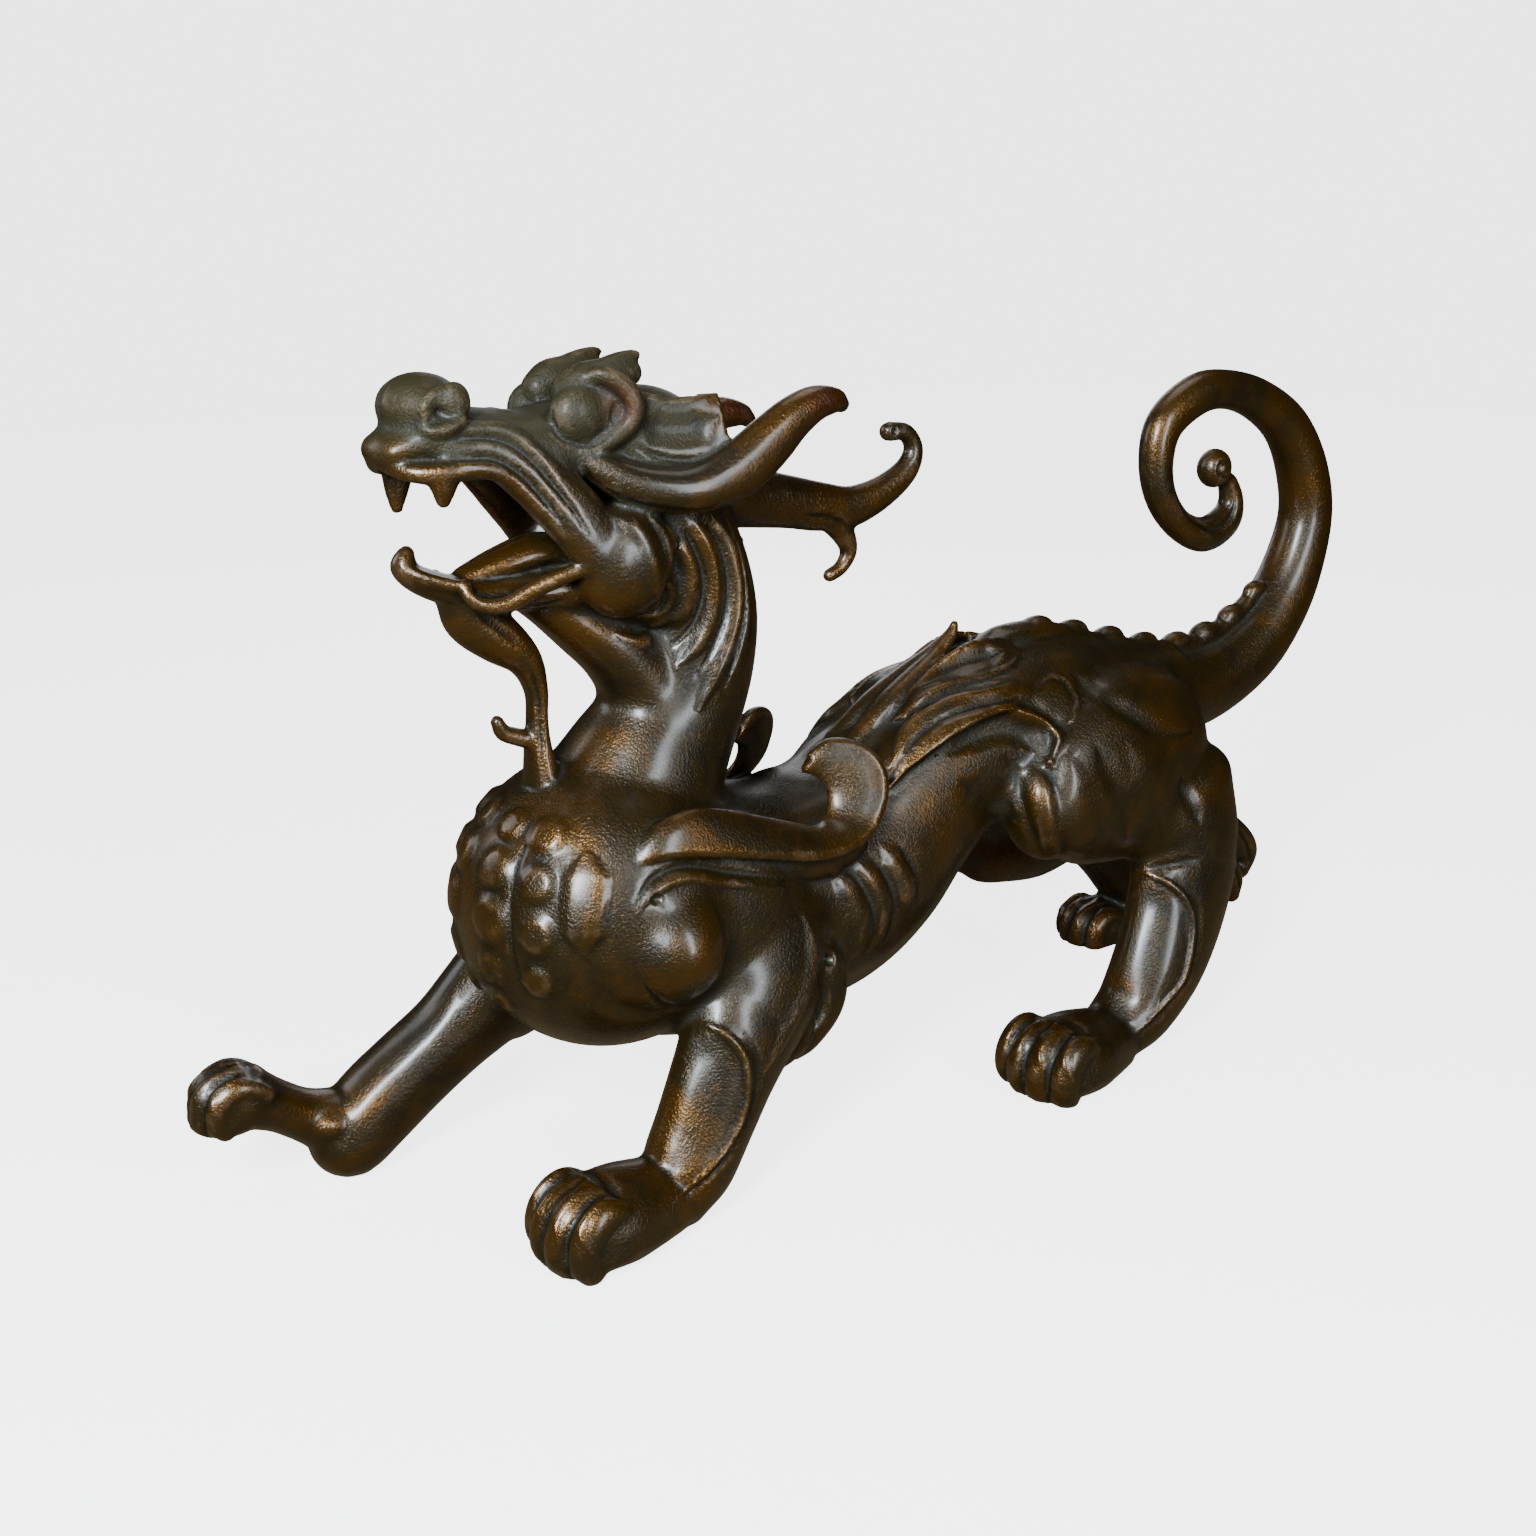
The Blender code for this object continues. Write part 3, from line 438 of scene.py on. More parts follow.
@dataclass
class Trunk(Form):
    """Chest ball, waist, hips and neck, with ribs on the waist and pads down the breast."""

    chest_centre: Point = (0, -40, 78.5)
    chest_radii: Point = (40, 41, 40.5)
    waist: Rows = (
        (0, -35, 75, 34, 36), (0, -12, 69, 33, 36), (0, 10, 67, 32, 34.5), (0, 28, 69.5, 32, 35),
        (0, 42, 75.5, 31, 32.5), (0, 57, 87, 28.5, 29.5), (0, 76, 99, 27, 26.5), (0, 100, 104, 28, 27.5),
        (0, 125, 104, 28, 26), (0, 148, 107, 21, 19), (0, 166, 108, 15, 15))
    neck: Rows = (
        (0, -34, 98, 26, 28), (0, -26, 113, 21, 23), (0, -17.5, 126, 17, 19), (0, -12, 140, 16, 18),
        (0, -10.5, 154, 16, 17), (0, -15.5, 170, 16, 17), (0, -25, 186, 15, 16.5))
    pads: Rows = (
        (7, -70, 107, 5.4), (8.5, -75, 96, 6.6), (10.5, -78, 83.5, 7.6), (10, -78.5, 70.5, 6.4),
        (8, -75, 60, 5.0), (17.5, -65, 105, 6.2), (20, -69, 94, 6.0), (22.5, -71, 82, 6.6),
        (21.5, -70.5, 70, 5.6))
    pad_height: float = 1.2
    gutter: Rows = ((15, -72, 103), (15.8, -75, 92), (17.5, -76, 80), (18, -75, 70))
    plate: Rows = ((28, -60, 103), (30.5, -62, 94), (31.5, -63, 86), (31, -63, 79))
    ribs: tuple[Rows, ...] = (
        ((30, 12, 85), (32, 18, 78), (33, 22, 70), (32, 23, 62), (30, 20, 56)),
        ((30, 22, 85), (32, 27, 78), (33, 30, 70), (32, 29, 62), (29, 27, 57)),
        ((29, 32, 86), (31, 36, 80), (32, 39, 73), (30, 39, 66)))
    nape: Rows = ((0, 4, 170), (0, 6, 162), (0, 7, 154), (0, 7, 146), (0, 5, 138), (0, 2, 130))
    rib_groove: Point = (0.0, 5.0, 0.0)

    def body(self, wax: Wax) -> None:
        """Press on the chest, the waist and the neck."""
        wax.ball(self.chest_centre, self.chest_radii)
        wax.loft(self.waist, self.neck)

    def strokes(self) -> list[Stroke]:
        """Give the breast pads, the plates beside them, the ribs and the bumps down the nape."""
        drawn = [Stroke(((x, y, z),), size, self.pad_height, Profile.PAD) for x, y, z, size in self.pads]
        drawn.append(Stroke(self.gutter, 1.6, -0.5, tapered=False))
        drawn.append(Stroke(self.plate, 7.0, 1.0, Profile.PAD))
        for rib in self.ribs:
            drawn += [Stroke(rib, 4.6, 0.9), Stroke(moved(rib, self.rib_groove), 2.4, -0.6)]
        return drawn + [Stroke((spot,), 3.8, 2.6) for spot in self.nape]


@dataclass
class Skull(Form):
    """Cranium, jaws, jowls and lips around the open mouth, with the nose, the eyes and the tongue."""

    cranium: Lump = ((0, -30, 197), (15.5, 21, 15), -8)
    nape_ball: Lump = ((0, -28, 163), (14.5, 15, 13))
    throat: Rows = (
        (0, -62, 163, 7, 4), (0, -54, 159, 9, 6), (0, -44, 152, 10.5, 8), (0, -35, 145, 12, 9.5),
        (0, -28, 135, 13, 10.5), (0, -25, 124, 14, 12))
    muzzle: Rows = (
        (0, -34, 196, 15, 13), (0, -48, 198, 14.5, 11), (0, -60, 199, 14, 8.5), (0, -72, 201, 13, 7.5),
        (0, -84, 202, 12.5, 7), (0, -94, 199.5, 9.5, 4.5))
    nose: Lump = ((0, -84.5, 209), (11.5, 10.2, 8))
    jaw: Rows = (
        (0, -34, 160, 14, 8), (0, -50, 164, 13, 6), (0, -64, 164, 11, 5), (0, -76, 164.5, 8.5, 4),
        (0, -86, 168, 6, 3.6), (0, -91.5, 172, 4, 2.8), (0, -90, 175.5, 2.6, 2.2))
    jowl: Lump = ((14, -39.5, 171), (8.8, 13.2, 14.6), 20)
    cheek: Rows = (
        (10, -82, 199, 3.5, 4.5), (11.5, -72, 198.5, 3.5, 6), (13, -64, 194, 3.5, 7.5),
        (14.5, -57, 187, 4, 8), (15.5, -51, 180, 4.5, 8), (16, -46, 173, 5, 8))
    eyeball: Lump = ((11.2, -49.3, 206.4), (5.2, 7.4, 6.8))
    socket: Lump = ((11.0, -42.5, 207), (4.4, 7.0, 7.4))
    eye_hook: Rows = (
        (12, -47.5, 215, 1.2, 1.4), (14.5, -43.5, 215.4, 1.9, 2.2), (16, -38.8, 212.4, 2.3, 2.5),
        (16.4, -36.6, 208.2, 2.3, 2.5), (15.8, -38.2, 203.6, 2.1, 2.3), (14.8, -43.6, 199.6, 1.7, 2),
        (13.8, -49, 198, 1.1, 1.3))
    brow: Rows = (
        (8, -49.5, 211, 4.6, 5), (8.6, -46, 213, 5, 5.4), (9.2, -41, 214.3, 4.8, 4.8),
        (9.5, -36.5, 215, 4, 4.2), (9.5, -34, 215.6, 3, 3.4))
    brow_tip: Rows = (
        (9.4, -42, 217.2, 3, 1.8), (9.5, -37.5, 218.6, 2.6, 1.8), (9.6, -33.5, 219.6, 1.9, 1.4),
        (9.6, -32, 219.6, 1.2, 1.1))
    forehead: Lump = ((3.2, -65.5, 204.8), (3.2, 4.8, 3.2))
    nostril_lobe: Lump = ((9.6, -80.2, 210.4), (3.4, 3.9, 4.8))
    nostril_scroll: Rows = (
        (10.4, -88, 207.2, 0.9, 0.9), (10.2, -87.6, 209.8, 1.4, 1.4), (9.8, -85.6, 212, 1.5, 1.5),
        (9.8, -82.6, 213.2, 1.2, 1.2))
    nostril_lip: Rows = (
        (10.2, -88.6, 204.8, 1, 1), (11.6, -86.4, 204.2, 1.4, 1.4), (12.4, -83, 204.8, 1.6, 1.6),
        (12.4, -79.6, 206.6, 1.3, 1.3))
    golden_fold: Rows = (
        (10.5, -83, 202.8, 1.2), (11.6, -77, 204.2, 1.8), (12.3, -70, 203.6, 2.2), (13.4, -64, 199.8, 2.4),
        (15, -58.5, 193, 2.4), (16.6, -53.5, 185, 2.2), (18, -49, 178, 1.6))
    middle_fold: Rows = (
        (11, -84, 199.6, 1.4), (12.2, -78, 200.2, 2.0), (12.8, -71, 199.6, 2.2), (13.6, -65.5, 195.8, 2.2),
        (15, -60.5, 189.5, 2.0), (16.6, -56, 182.5, 1.4))
    lip: Rows = (
        (2, -96, 197.2, 1.8), (8, -92.5, 195.4, 2.2), (11.6, -87, 194.8, 2.5), (13, -80, 195.6, 2.6),
        (13.6, -73, 195, 2.5), (14.2, -67.5, 191.5, 2.4), (15.4, -61.5, 185, 2.3), (16.6, -56, 178.5, 2.2),
        (17.8, -50.5, 172.5, 1.8))
    left_fang: Rows = (
        (12.0, -84.6, 195, 2.6, 4.4), (12.0, -85, 191.4, 2.2, 3.2), (11.8, -85.2, 188.4, 1.5, 1.9))
    right_fang: Rows = (
        (-12.0, -86, 195, 2.6, 4.6), (-12.0, -86.6, 189, 2.1, 3.2), (-11.8, -87, 184.2, 1.3, 1.6))
    tongue: Rows = (
        (0, -44, 171, 8, 4.5), (0, -56, 173, 7.6, 4.4), (0, -66, 171, 6.8, 3.8), (0, -76, 168.4, 4.2, 2.4))
    chin_rim: Rows = (
        (1.5, -92, 172.5, 1.6), (4.5, -88, 170, 1.7), (7, -82.5, 168.2, 1.6), (8, -78.5, 167.4, 1.2))
    jaw_rim: Rows = (
        (8.4, -79.6, 168.4, 1.2), (9.6, -79, 165.2, 1.6), (10.2, -75.4, 162.8, 1.9), (11.8, -70, 163, 2.1),
        (13.6, -63, 166.4, 2.2), (16, -55, 169.6, 2.1), (18.2, -49.5, 171.2, 1.6))
    # the folds of the lips and jowls, the lids, and the line of the tongue
    lines: Lines = (
        (((12, -84, 202), (13, -79, 202.4), (13.6, -72, 201.8), (14.4, -65.5, 198), (16, -60.5, 192),
          (17.4, -56, 186), (19, -52, 179)), 1.3, -0.7),
        (((12.5, -86, 197.4), (14, -80, 198), (14.2, -73, 197.4), (15, -67, 193.6), (16.6, -62, 187.4),
          (17.8, -57.4, 181.4)), 1.3, -0.8),
        (((18, -46, 184), (19.6, -41.5, 181), (21.4, -38, 177), (22, -36, 171), (20, -34, 164),
          (15, -31.5, 158.5)), 3.6, 0.9),
        (((20, -37, 184), (20, -33, 178), (20, -30.4, 172), (19, -28.4, 166), (17, -27, 159.5),
          (15, -29, 154.5), (14, -35, 153.5)), 1.9, -1.6),
        (((12, -57.5, 208), (13, -56, 202), (15.5, -50, 199.5), (16.5, -44, 202)), 1.3, -0.7),
        (((14.6, -41.6, 209), (15, -42.4, 204)), 1.5, -0.8),
        (((0, -57, 176), (0, -66, 174), (0, -74, 170)), 1.1, -0.8),
        (((0, -98, 203), (0, -94, 209), (0, -89, 214.5)), 1.6, -0.5),
        (((12, -84.6, 208.2),), 2.0, -1.4),
        (((15, -66, 203.5), (15.6, -60, 200.5), (16.6, -55, 195), (18, -49.5, 190)), 2.2, -0.6))

    def body(self, wax: Wax) -> None:
        """Press on the throat, which must flow into the neck."""
        wax.loft(self.throat)

    def flesh(self, wax: Wax) -> None:
        """Press on the cranium, the jowls and the two jaws."""
        wax.ball(*self.cranium)
        wax.ball(*self.nape_ball)
        wax.loft(self.muzzle)
        wax.ball(*self.nose)
        wax.loft(self.jaw)
        wax.ball(*self.jowl, mirrored=True)
        wax.loft(self.cheek, mirrored=True)

    def detail(self, wax: Wax) -> None:
        """Press on the eyes, brows, nostrils, lips, fangs and tongue."""
        for lump in (self.eyeball, self.socket, self.forehead, self.nostril_lobe):
            wax.ball(*lump, mirrored=True)
        wax.loft(self.eye_hook, self.brow, self.brow_tip, self.nostril_scroll, self.nostril_lip,
                 mirrored=True)
        wax.loft(self.left_fang, self.right_fang)
        wax.cord(self.golden_fold, self.middle_fold, self.lip)
        wax.loft(self.tongue)
        wax.cord(self.chin_rim, self.jaw_rim)


@dataclass
class Mane(Form):
    """Crescent locks behind each jowl, which run down the neck with fine grooves between them."""

    locks: tuple[Rows, ...] = (
        ((20, -30, 182), (18, -25, 175), (17, -21.5, 167), (15.5, -21.5, 159), (13, -25, 152.5),
         (12, -32, 149.5), (12, -40, 152)),
        ((19.5, -24, 183), (17, -17, 174), (16.5, -14, 165), (16, -14.5, 156), (15, -18, 147.5),
         (13, -24, 142)),
        ((18, -16, 183), (16, -8.5, 174), (16, -6.2, 165), (16.5, -6.4, 156), (16, -10, 146),
         (15.5, -15, 137), (15, -20, 130)))
    grooves: tuple[Rows, ...] = (
        ((18.5, -26, 181), (17.5, -20.5, 173), (17, -17.6, 165), (16, -18, 157), (13.5, -21.5, 150),
         (11.5, -28, 146)),
        ((17.5, -18, 181), (16, -12, 173), (16, -10, 165), (16.2, -10.4, 156), (16, -14, 147),
         (15, -19, 139)),
        ((15, -9, 181), (15.4, -3.6, 172), (16, -2, 163), (16.5, -2.6, 154), (17, -6.4, 144),
         (17, -11.4, 135)))
    lock_size: Pair = (3.4, 1.5)
    groove_size: Pair = (1.3, -1.2)

    def strokes(self) -> list[Stroke]:
        """Give the locks and then the grooves, each with its width and height."""
        pairs = ((self.locks, self.lock_size), (self.grooves, self.groove_size))
        return [Stroke(path, *size) for paths, size in pairs for path in paths]


@dataclass
class Ears(Form):
    """Long ladle-shaped ears: a thick roll that sweeps back and up, around a hollow leaf."""

    roll: Rows = (
        (12, -48, 196, 3.5, 3.5), (15.5, -40, 190.5, 5, 5), (18, -31, 188, 6, 5.6), (20, -21, 188, 6.2, 6.2),
        (21, -10, 192, 6, 7.2), (21.5, -1.5, 198, 5.4, 6.8), (21.8, 5, 203.2, 4.8, 5.8),
        (21.8, 12, 206.8, 4.2, 4.7), (21.5, 18.5, 207.4, 3.4, 3.4), (21.2, 21, 206.4, 2.4, 2.4))
    leaf_low: Rows = ((14, -40, 199), (16, -33, 195), (18, -25, 193.5), (19.5, -17, 196), (20, -12.5, 199.5))
    leaf_high: Rows = (
        (12.5, -39, 212), (14, -32, 209.6), (15, -25, 208.6), (16.2, -18, 208.8), (17, -13.4, 209.2))
    leaf_thickness: float = 3.2
    right_droop: float = 0.16
    droop_start: float = -22.0
    # the hollow of the leaf, its worn rim, and the lines where it meets the roll
    lines: Lines = (
        (((16, -35, 204), (17, -29, 202), (18.5, -22, 202), (19.5, -16, 204.5)), 6.0, -1.7),
        (((15.5, -38, 211.5), (16, -31, 209.6), (17, -24, 208.8), (18, -17, 210)), 1.2, 0.5),
        (((16.5, -37, 198.5), (18.5, -30, 195.5), (20.5, -22, 195), (21.5, -14, 198.4)), 1.3, -0.7),
        (((17, -45, 189), (20, -38, 184), (22, -31, 182.5), (24, -20, 183)), 2.0, -0.7))

    def detail(self, wax: Wax) -> None:
        """Press on the roll and the leaf; the right ear curls up less than the left."""
        wax.loft(self.roll, tuple((-x, y, z - max(0.0, y - self.droop_start) * self.right_droop, across, deep)
                                  for x, y, z, across, deep in self.roll))
        wax.strap(self.leaf_low, self.leaf_high, self.leaf_thickness)


@dataclass
class Horn(Form):
    """One horn behind the head, forked into two curls."""

    stem: Rows = (
        (0, -18, 184, 9, 9), (0, -4, 182.5, 8.5, 8.5), (0, 8, 181, 6.5, 8), (0, 20, 179, 5.5, 7.2),
        (0, 30, 177, 5, 6.8), (0, 40, 176, 4.4, 6), (0, 51, 179, 3.8, 4.8), (0, 60, 184.5, 3.3, 3.8),
        (0, 63, 190.5, 2.8, 2.9), (0, 60, 195.4, 2.6, 2.5), (0, 54, 196, 2.8, 2.8))
    spur: Rows = (
        (0, 33, 174, 3.4, 3.8), (0, 38, 169.5, 3, 3.6), (0, 40.5, 164, 2.4, 2.6), (0, 38, 159.5, 2, 2.1),
        (0, 34, 157.5, 2, 2))
    # the fold in the fork and the pit in the curl
    lines: Lines = (
        (((4.5, 22, 176), (4, 32, 174.5), (3.5, 38, 171)), 1.4, -0.7),
        (((2.5, 54.5, 196),), 1.6, -0.9))

    def detail(self, wax: Wax) -> None:
        """Press on both prongs."""
        wax.loft(self.stem, self.spur)


@dataclass
class Beard(Form):
    """The chin beard, which hangs from the jaw, curls forward and joins the chest."""

    hank: Rows = (
        (0, -78, 163, 7, 5), (0, -75, 158, 6.5, 6.5), (0, -68, 152.5, 6, 6.5), (0, -61, 146, 5, 4.6),
        (0, -58, 138, 4, 3), (0, -58, 130, 4, 2.6), (0, -58, 122, 5, 3.4), (0, -57, 112, 7, 5))
    curl: Rows = (
        (0, -58, 124, 3, 2.6), (0, -63, 126, 2.4, 2.4), (0, -67.5, 128, 2, 2.2), (0, -69, 131, 1.8, 1.8))
    # the hairs
    lines: Lines = (
        (((4.5, -62, 146), (4, -59.5, 138), (4, -59, 128), (4.5, -59, 119)), 1.2, -0.7),
        (((6.5, -76, 161), (7, -70, 156), (6, -63, 150)), 1.8, -0.5),
        (((8, -66, 160.5), (9, -60, 162), (11, -54, 163)), 1.3, -0.7))

    def detail(self, wax: Wax) -> None:
        """Press on the hank and its curl."""
        wax.loft(self.hank, self.curl)


@dataclass
class Tail(Form):
    """A thick root that rises and winds inwards to a knob."""

    coil: Rows = (
        (0, 146, 110, 16, 17), (0, 162, 106, 15, 16), (0, 176, 103.5, 14, 14.8), (0, 194, 105.5, 13, 13.4),
        (0, 212, 113.5, 12.3, 12.7), (0, 224, 124, 11.4, 11.6), (0, 233, 137.5, 10.2, 10.6),
        (0, 238.4, 157, 9, 9.4), (0, 234.3, 174, 8.4, 8.9), (0, 224, 188.7, 7.4, 8), (0, 208.5, 198, 6.6, 7),
        (0, 193, 202, 6.2, 6.4), (0, 179, 201, 6.2, 6.8), (0, 165.3, 192.7, 5.8, 6.6),
        (0, 162.3, 181, 5.3, 5.9), (0, 165.6, 169.5, 5, 5.3), (0, 174.6, 160, 5, 5), (0, 187, 155.5, 5, 6),
        (0, 197, 159.3, 4.8, 6), (0, 199.5, 165.5, 4.2, 4.4), (0, 197.2, 172, 3.4, 3.4))
    knob: Lump = ((0, 190, 177), (5.4, 6.2, 6.6))
    # the inner roll of the curl and the spiral on its knob
    lines: Lines = (
        (((4.6, 167, 171), (4.6, 176, 161.5), (4.8, 187, 157.5), (4.4, 195.5, 161.5), (4, 197.5, 167)),
         1.7, -0.8),
        (((4.8, 193, 180), (5.2, 188, 179.5), (5, 187, 175.5), (4.8, 191, 174.5)), 1.2, -0.8))

    def flesh(self, wax: Wax) -> None:
        """Press on the coil and its knob."""
        wax.loft(self.coil)
        wax.ball(*self.knob)


@dataclass
class Spine(Form):
    """The ridge from the hips to the tail, with a row of low overlapping scallops on it."""

    ridge: Rows = (
        (0, 84, 125, 4, 4), (0, 98, 130.2, 6.4, 4.6), (0, 112, 131, 6.4, 4.6), (0, 126, 128.2, 6, 4.4),
        (0, 141, 123.8, 5.4, 4.2), (0, 157, 120.2, 5, 4), (0, 173, 118.2, 4.4, 3.7), (0, 188, 119, 4, 3.5),
        (0, 202, 123.8, 3.4, 3.3), (0, 214, 131.8, 2.8, 2.9))
    knobs: Rows = (
        (98.5, 130.6, 4.9), (113, 131.8, 5.0), (128, 128.8, 5.0), (144.5, 125, 4.8), (161, 121.2, 4.6),
        (177, 119.6, 4.4), (191, 121.6, 4.2), (204, 126.4, 3.8), (215, 134, 3.2))
    breadth: float = 0.95
    overlap: float = 1.5
    lean: float = -12.0

    def detail(self, wax: Wax) -> None:
        """Press on the ridge and the scallops."""
        wax.loft(self.ridge)
        for y, z, radius in self.knobs:
            wax.ball((0, y, z), (radius * self.breadth, radius * self.overlap, radius), self.lean)


@dataclass
class Shoulders(Form):
    """Shoulder discs with a polished boss each, and the upper arms."""

    disc: Lump = ((22, -20, 73), (16, 30, 31), -12)
    boss: Lump = ((32.5, -38.5, 75), (13, 15, 15.5))
    right_slip: float = -3.0
    left_arm: Rows = ((24, -4, 72, 12, 24), (29, -9, 58, 12.5, 20), (32, -16, 46, 12, 17))
    right_arm: Rows = ((-22, -24, 66, 14, 24), (-30, -42, 52, 13.5, 18), (-34, -56, 40, 12.5, 15))
    # the boss and the hollows around it
    lines: Lines = (
        (((42, -40, 76),), 12.0, 1.2),
        (((32, -56, 90), (29, -59, 78), (30, -56, 66), (35, -48, 58), (40, -40, 55)), 5.0, -0.9),
        (((41, -28, 88), (44, -24, 80), (44, -23, 71), (43, -27, 63)), 5.0, -0.7),
        (((37.5, -46, 91),), 1.8, -1.5))
    # the creases of each arm
    single_lines: Lines = (
        (((36, 1, 76), (37, 2, 68), (39, 0, 59), (42, -6, 52), (43, -12, 46), (45, -19, 39)), 3.6, 0.9),
        (((38, -50, 70), (36, -43, 61), (38, -34, 54)), 1.8, -0.7),
        (((-36, -3, 76), (-37, -6, 66), (-40, -14, 57), (-42, -28, 50)), 3.6, 0.9))

    def body(self, wax: Wax) -> None:
        """Press on the discs, the bosses and the arms."""
        for sign, slip in ((1, 0.0), (-1, self.right_slip)):
            for (x, y, z), *rest in (self.disc, self.boss):
                wax.ball((sign * x, y + slip, z), *rest)
        wax.loft(self.left_arm, self.right_arm)


@dataclass
class Haunches(Form):
    """Thighs: the left one gathered up, the right one stretched down and back."""

    left: Rows = (
        (14, 158, 84, 13, 14), (18, 146, 90, 19, 29), (21, 124, 91, 19, 31), (25, 104, 88, 16, 25),
        (27, 93, 85, 12, 17))
    left_knee: Rows = ((26, 150, 78, 15, 26), (29, 156, 64, 13.5, 20), (31, 155, 52, 12, 17))
    right: Rows = (
        (-14, 158, 82, 13, 14), (-18, 146, 79.5, 19, 32), (-21, 127, 71, 18, 34), (-24, 113, 65, 14, 27),
        (-26, 105, 63, 10, 18))
    right_knee: Rows = ((-24, 146, 66, 15, 22), (-29, 166, 54, 12.5, 17), (-33, 182, 43, 11, 14))
    swells: Lines = (
        (((29.6, 85.9, 99.1), (34.5, 85.6, 93.7), (37.1, 86, 87.7), (37.8, 88.2, 80.7), (35, 93, 73)),
         6.5, 1.0),
        (((36, 95, 103), (38.4, 95.4, 95), (39.4, 96, 88), (37.3, 99.6, 77.3), (35, 104, 70)), 8.0, 1.1),
        (((38, 118, 103), (39.5, 124.9, 92.9), (38.1, 131.6, 81.3), (36.5, 135.3, 70)), 11.0, 1.4))
    creases: Lines = (
        (((26, 79, 104), (27.8, 80.9, 99.1), (29.4, 82.3, 93), (31.5, 82.4, 87.8), (33.2, 84.4, 81.1),
          (33.1, 89.2, 74.3)), 3.4, -0.8),
        (((31, 89.5, 103), (33.6, 89.7, 97.5), (36.8, 89.5, 91.7), (38, 89.7, 85.3), (37.4, 92.9, 76.8),
          (35, 98, 70)), 3.4, -0.5),
        (((37, 105, 105), (38.8, 107.2, 99.7), (40.2, 110.5, 91.7), (39.7, 113.9, 83.1), (36.5, 119.1, 73.2)),
         6.0, -0.9),
        (((38.3, 140.2, 89.9), (39.2, 145.2, 81.1), (40.6, 147.8, 73.9)), 4.0, -0.9))
    right_shift: Point = (0.0, 8.0, -14.0)
    rump_crease: Rows = (
        (20, 110, 122.5), (22.9, 111.9, 120.3), (27.9, 113.6, 117.7), (32.5, 117, 114.3), (35, 122.7, 110.1),
        (36.4, 128.3, 106.3), (36, 137, 102.5), (30, 146, 101))
    knee_crease: Rows = ((33.9, 134.1, 60), (38.7, 139.9, 61.5), (41.1, 148.5, 62.5))
    belly_fold: Rows = ((27, 62, 100), (31, 70, 92), (31, 78, 84))

    def body(self, wax: Wax) -> None:
        """Press on both thighs down to the knees."""
        wax.loft(self.left, self.left_knee, self.right, self.right_knee)

    def strokes(self) -> list[Stroke]:
        """Give the muscles of each thigh, the creases between them, and those of the rump, knee and belly."""
        drawn = []
        for path, *size in self.swells + self.creases:
            drawn += singles(((path, *size), (moved(path, self.right_shift, True), *size)))
        drawn.append(Stroke(self.rump_crease, 5.2, -1.0))
        return drawn + singles(((self.knee_crease, 2.4, -0.9), (self.belly_fold, 7.0, -1.2)))


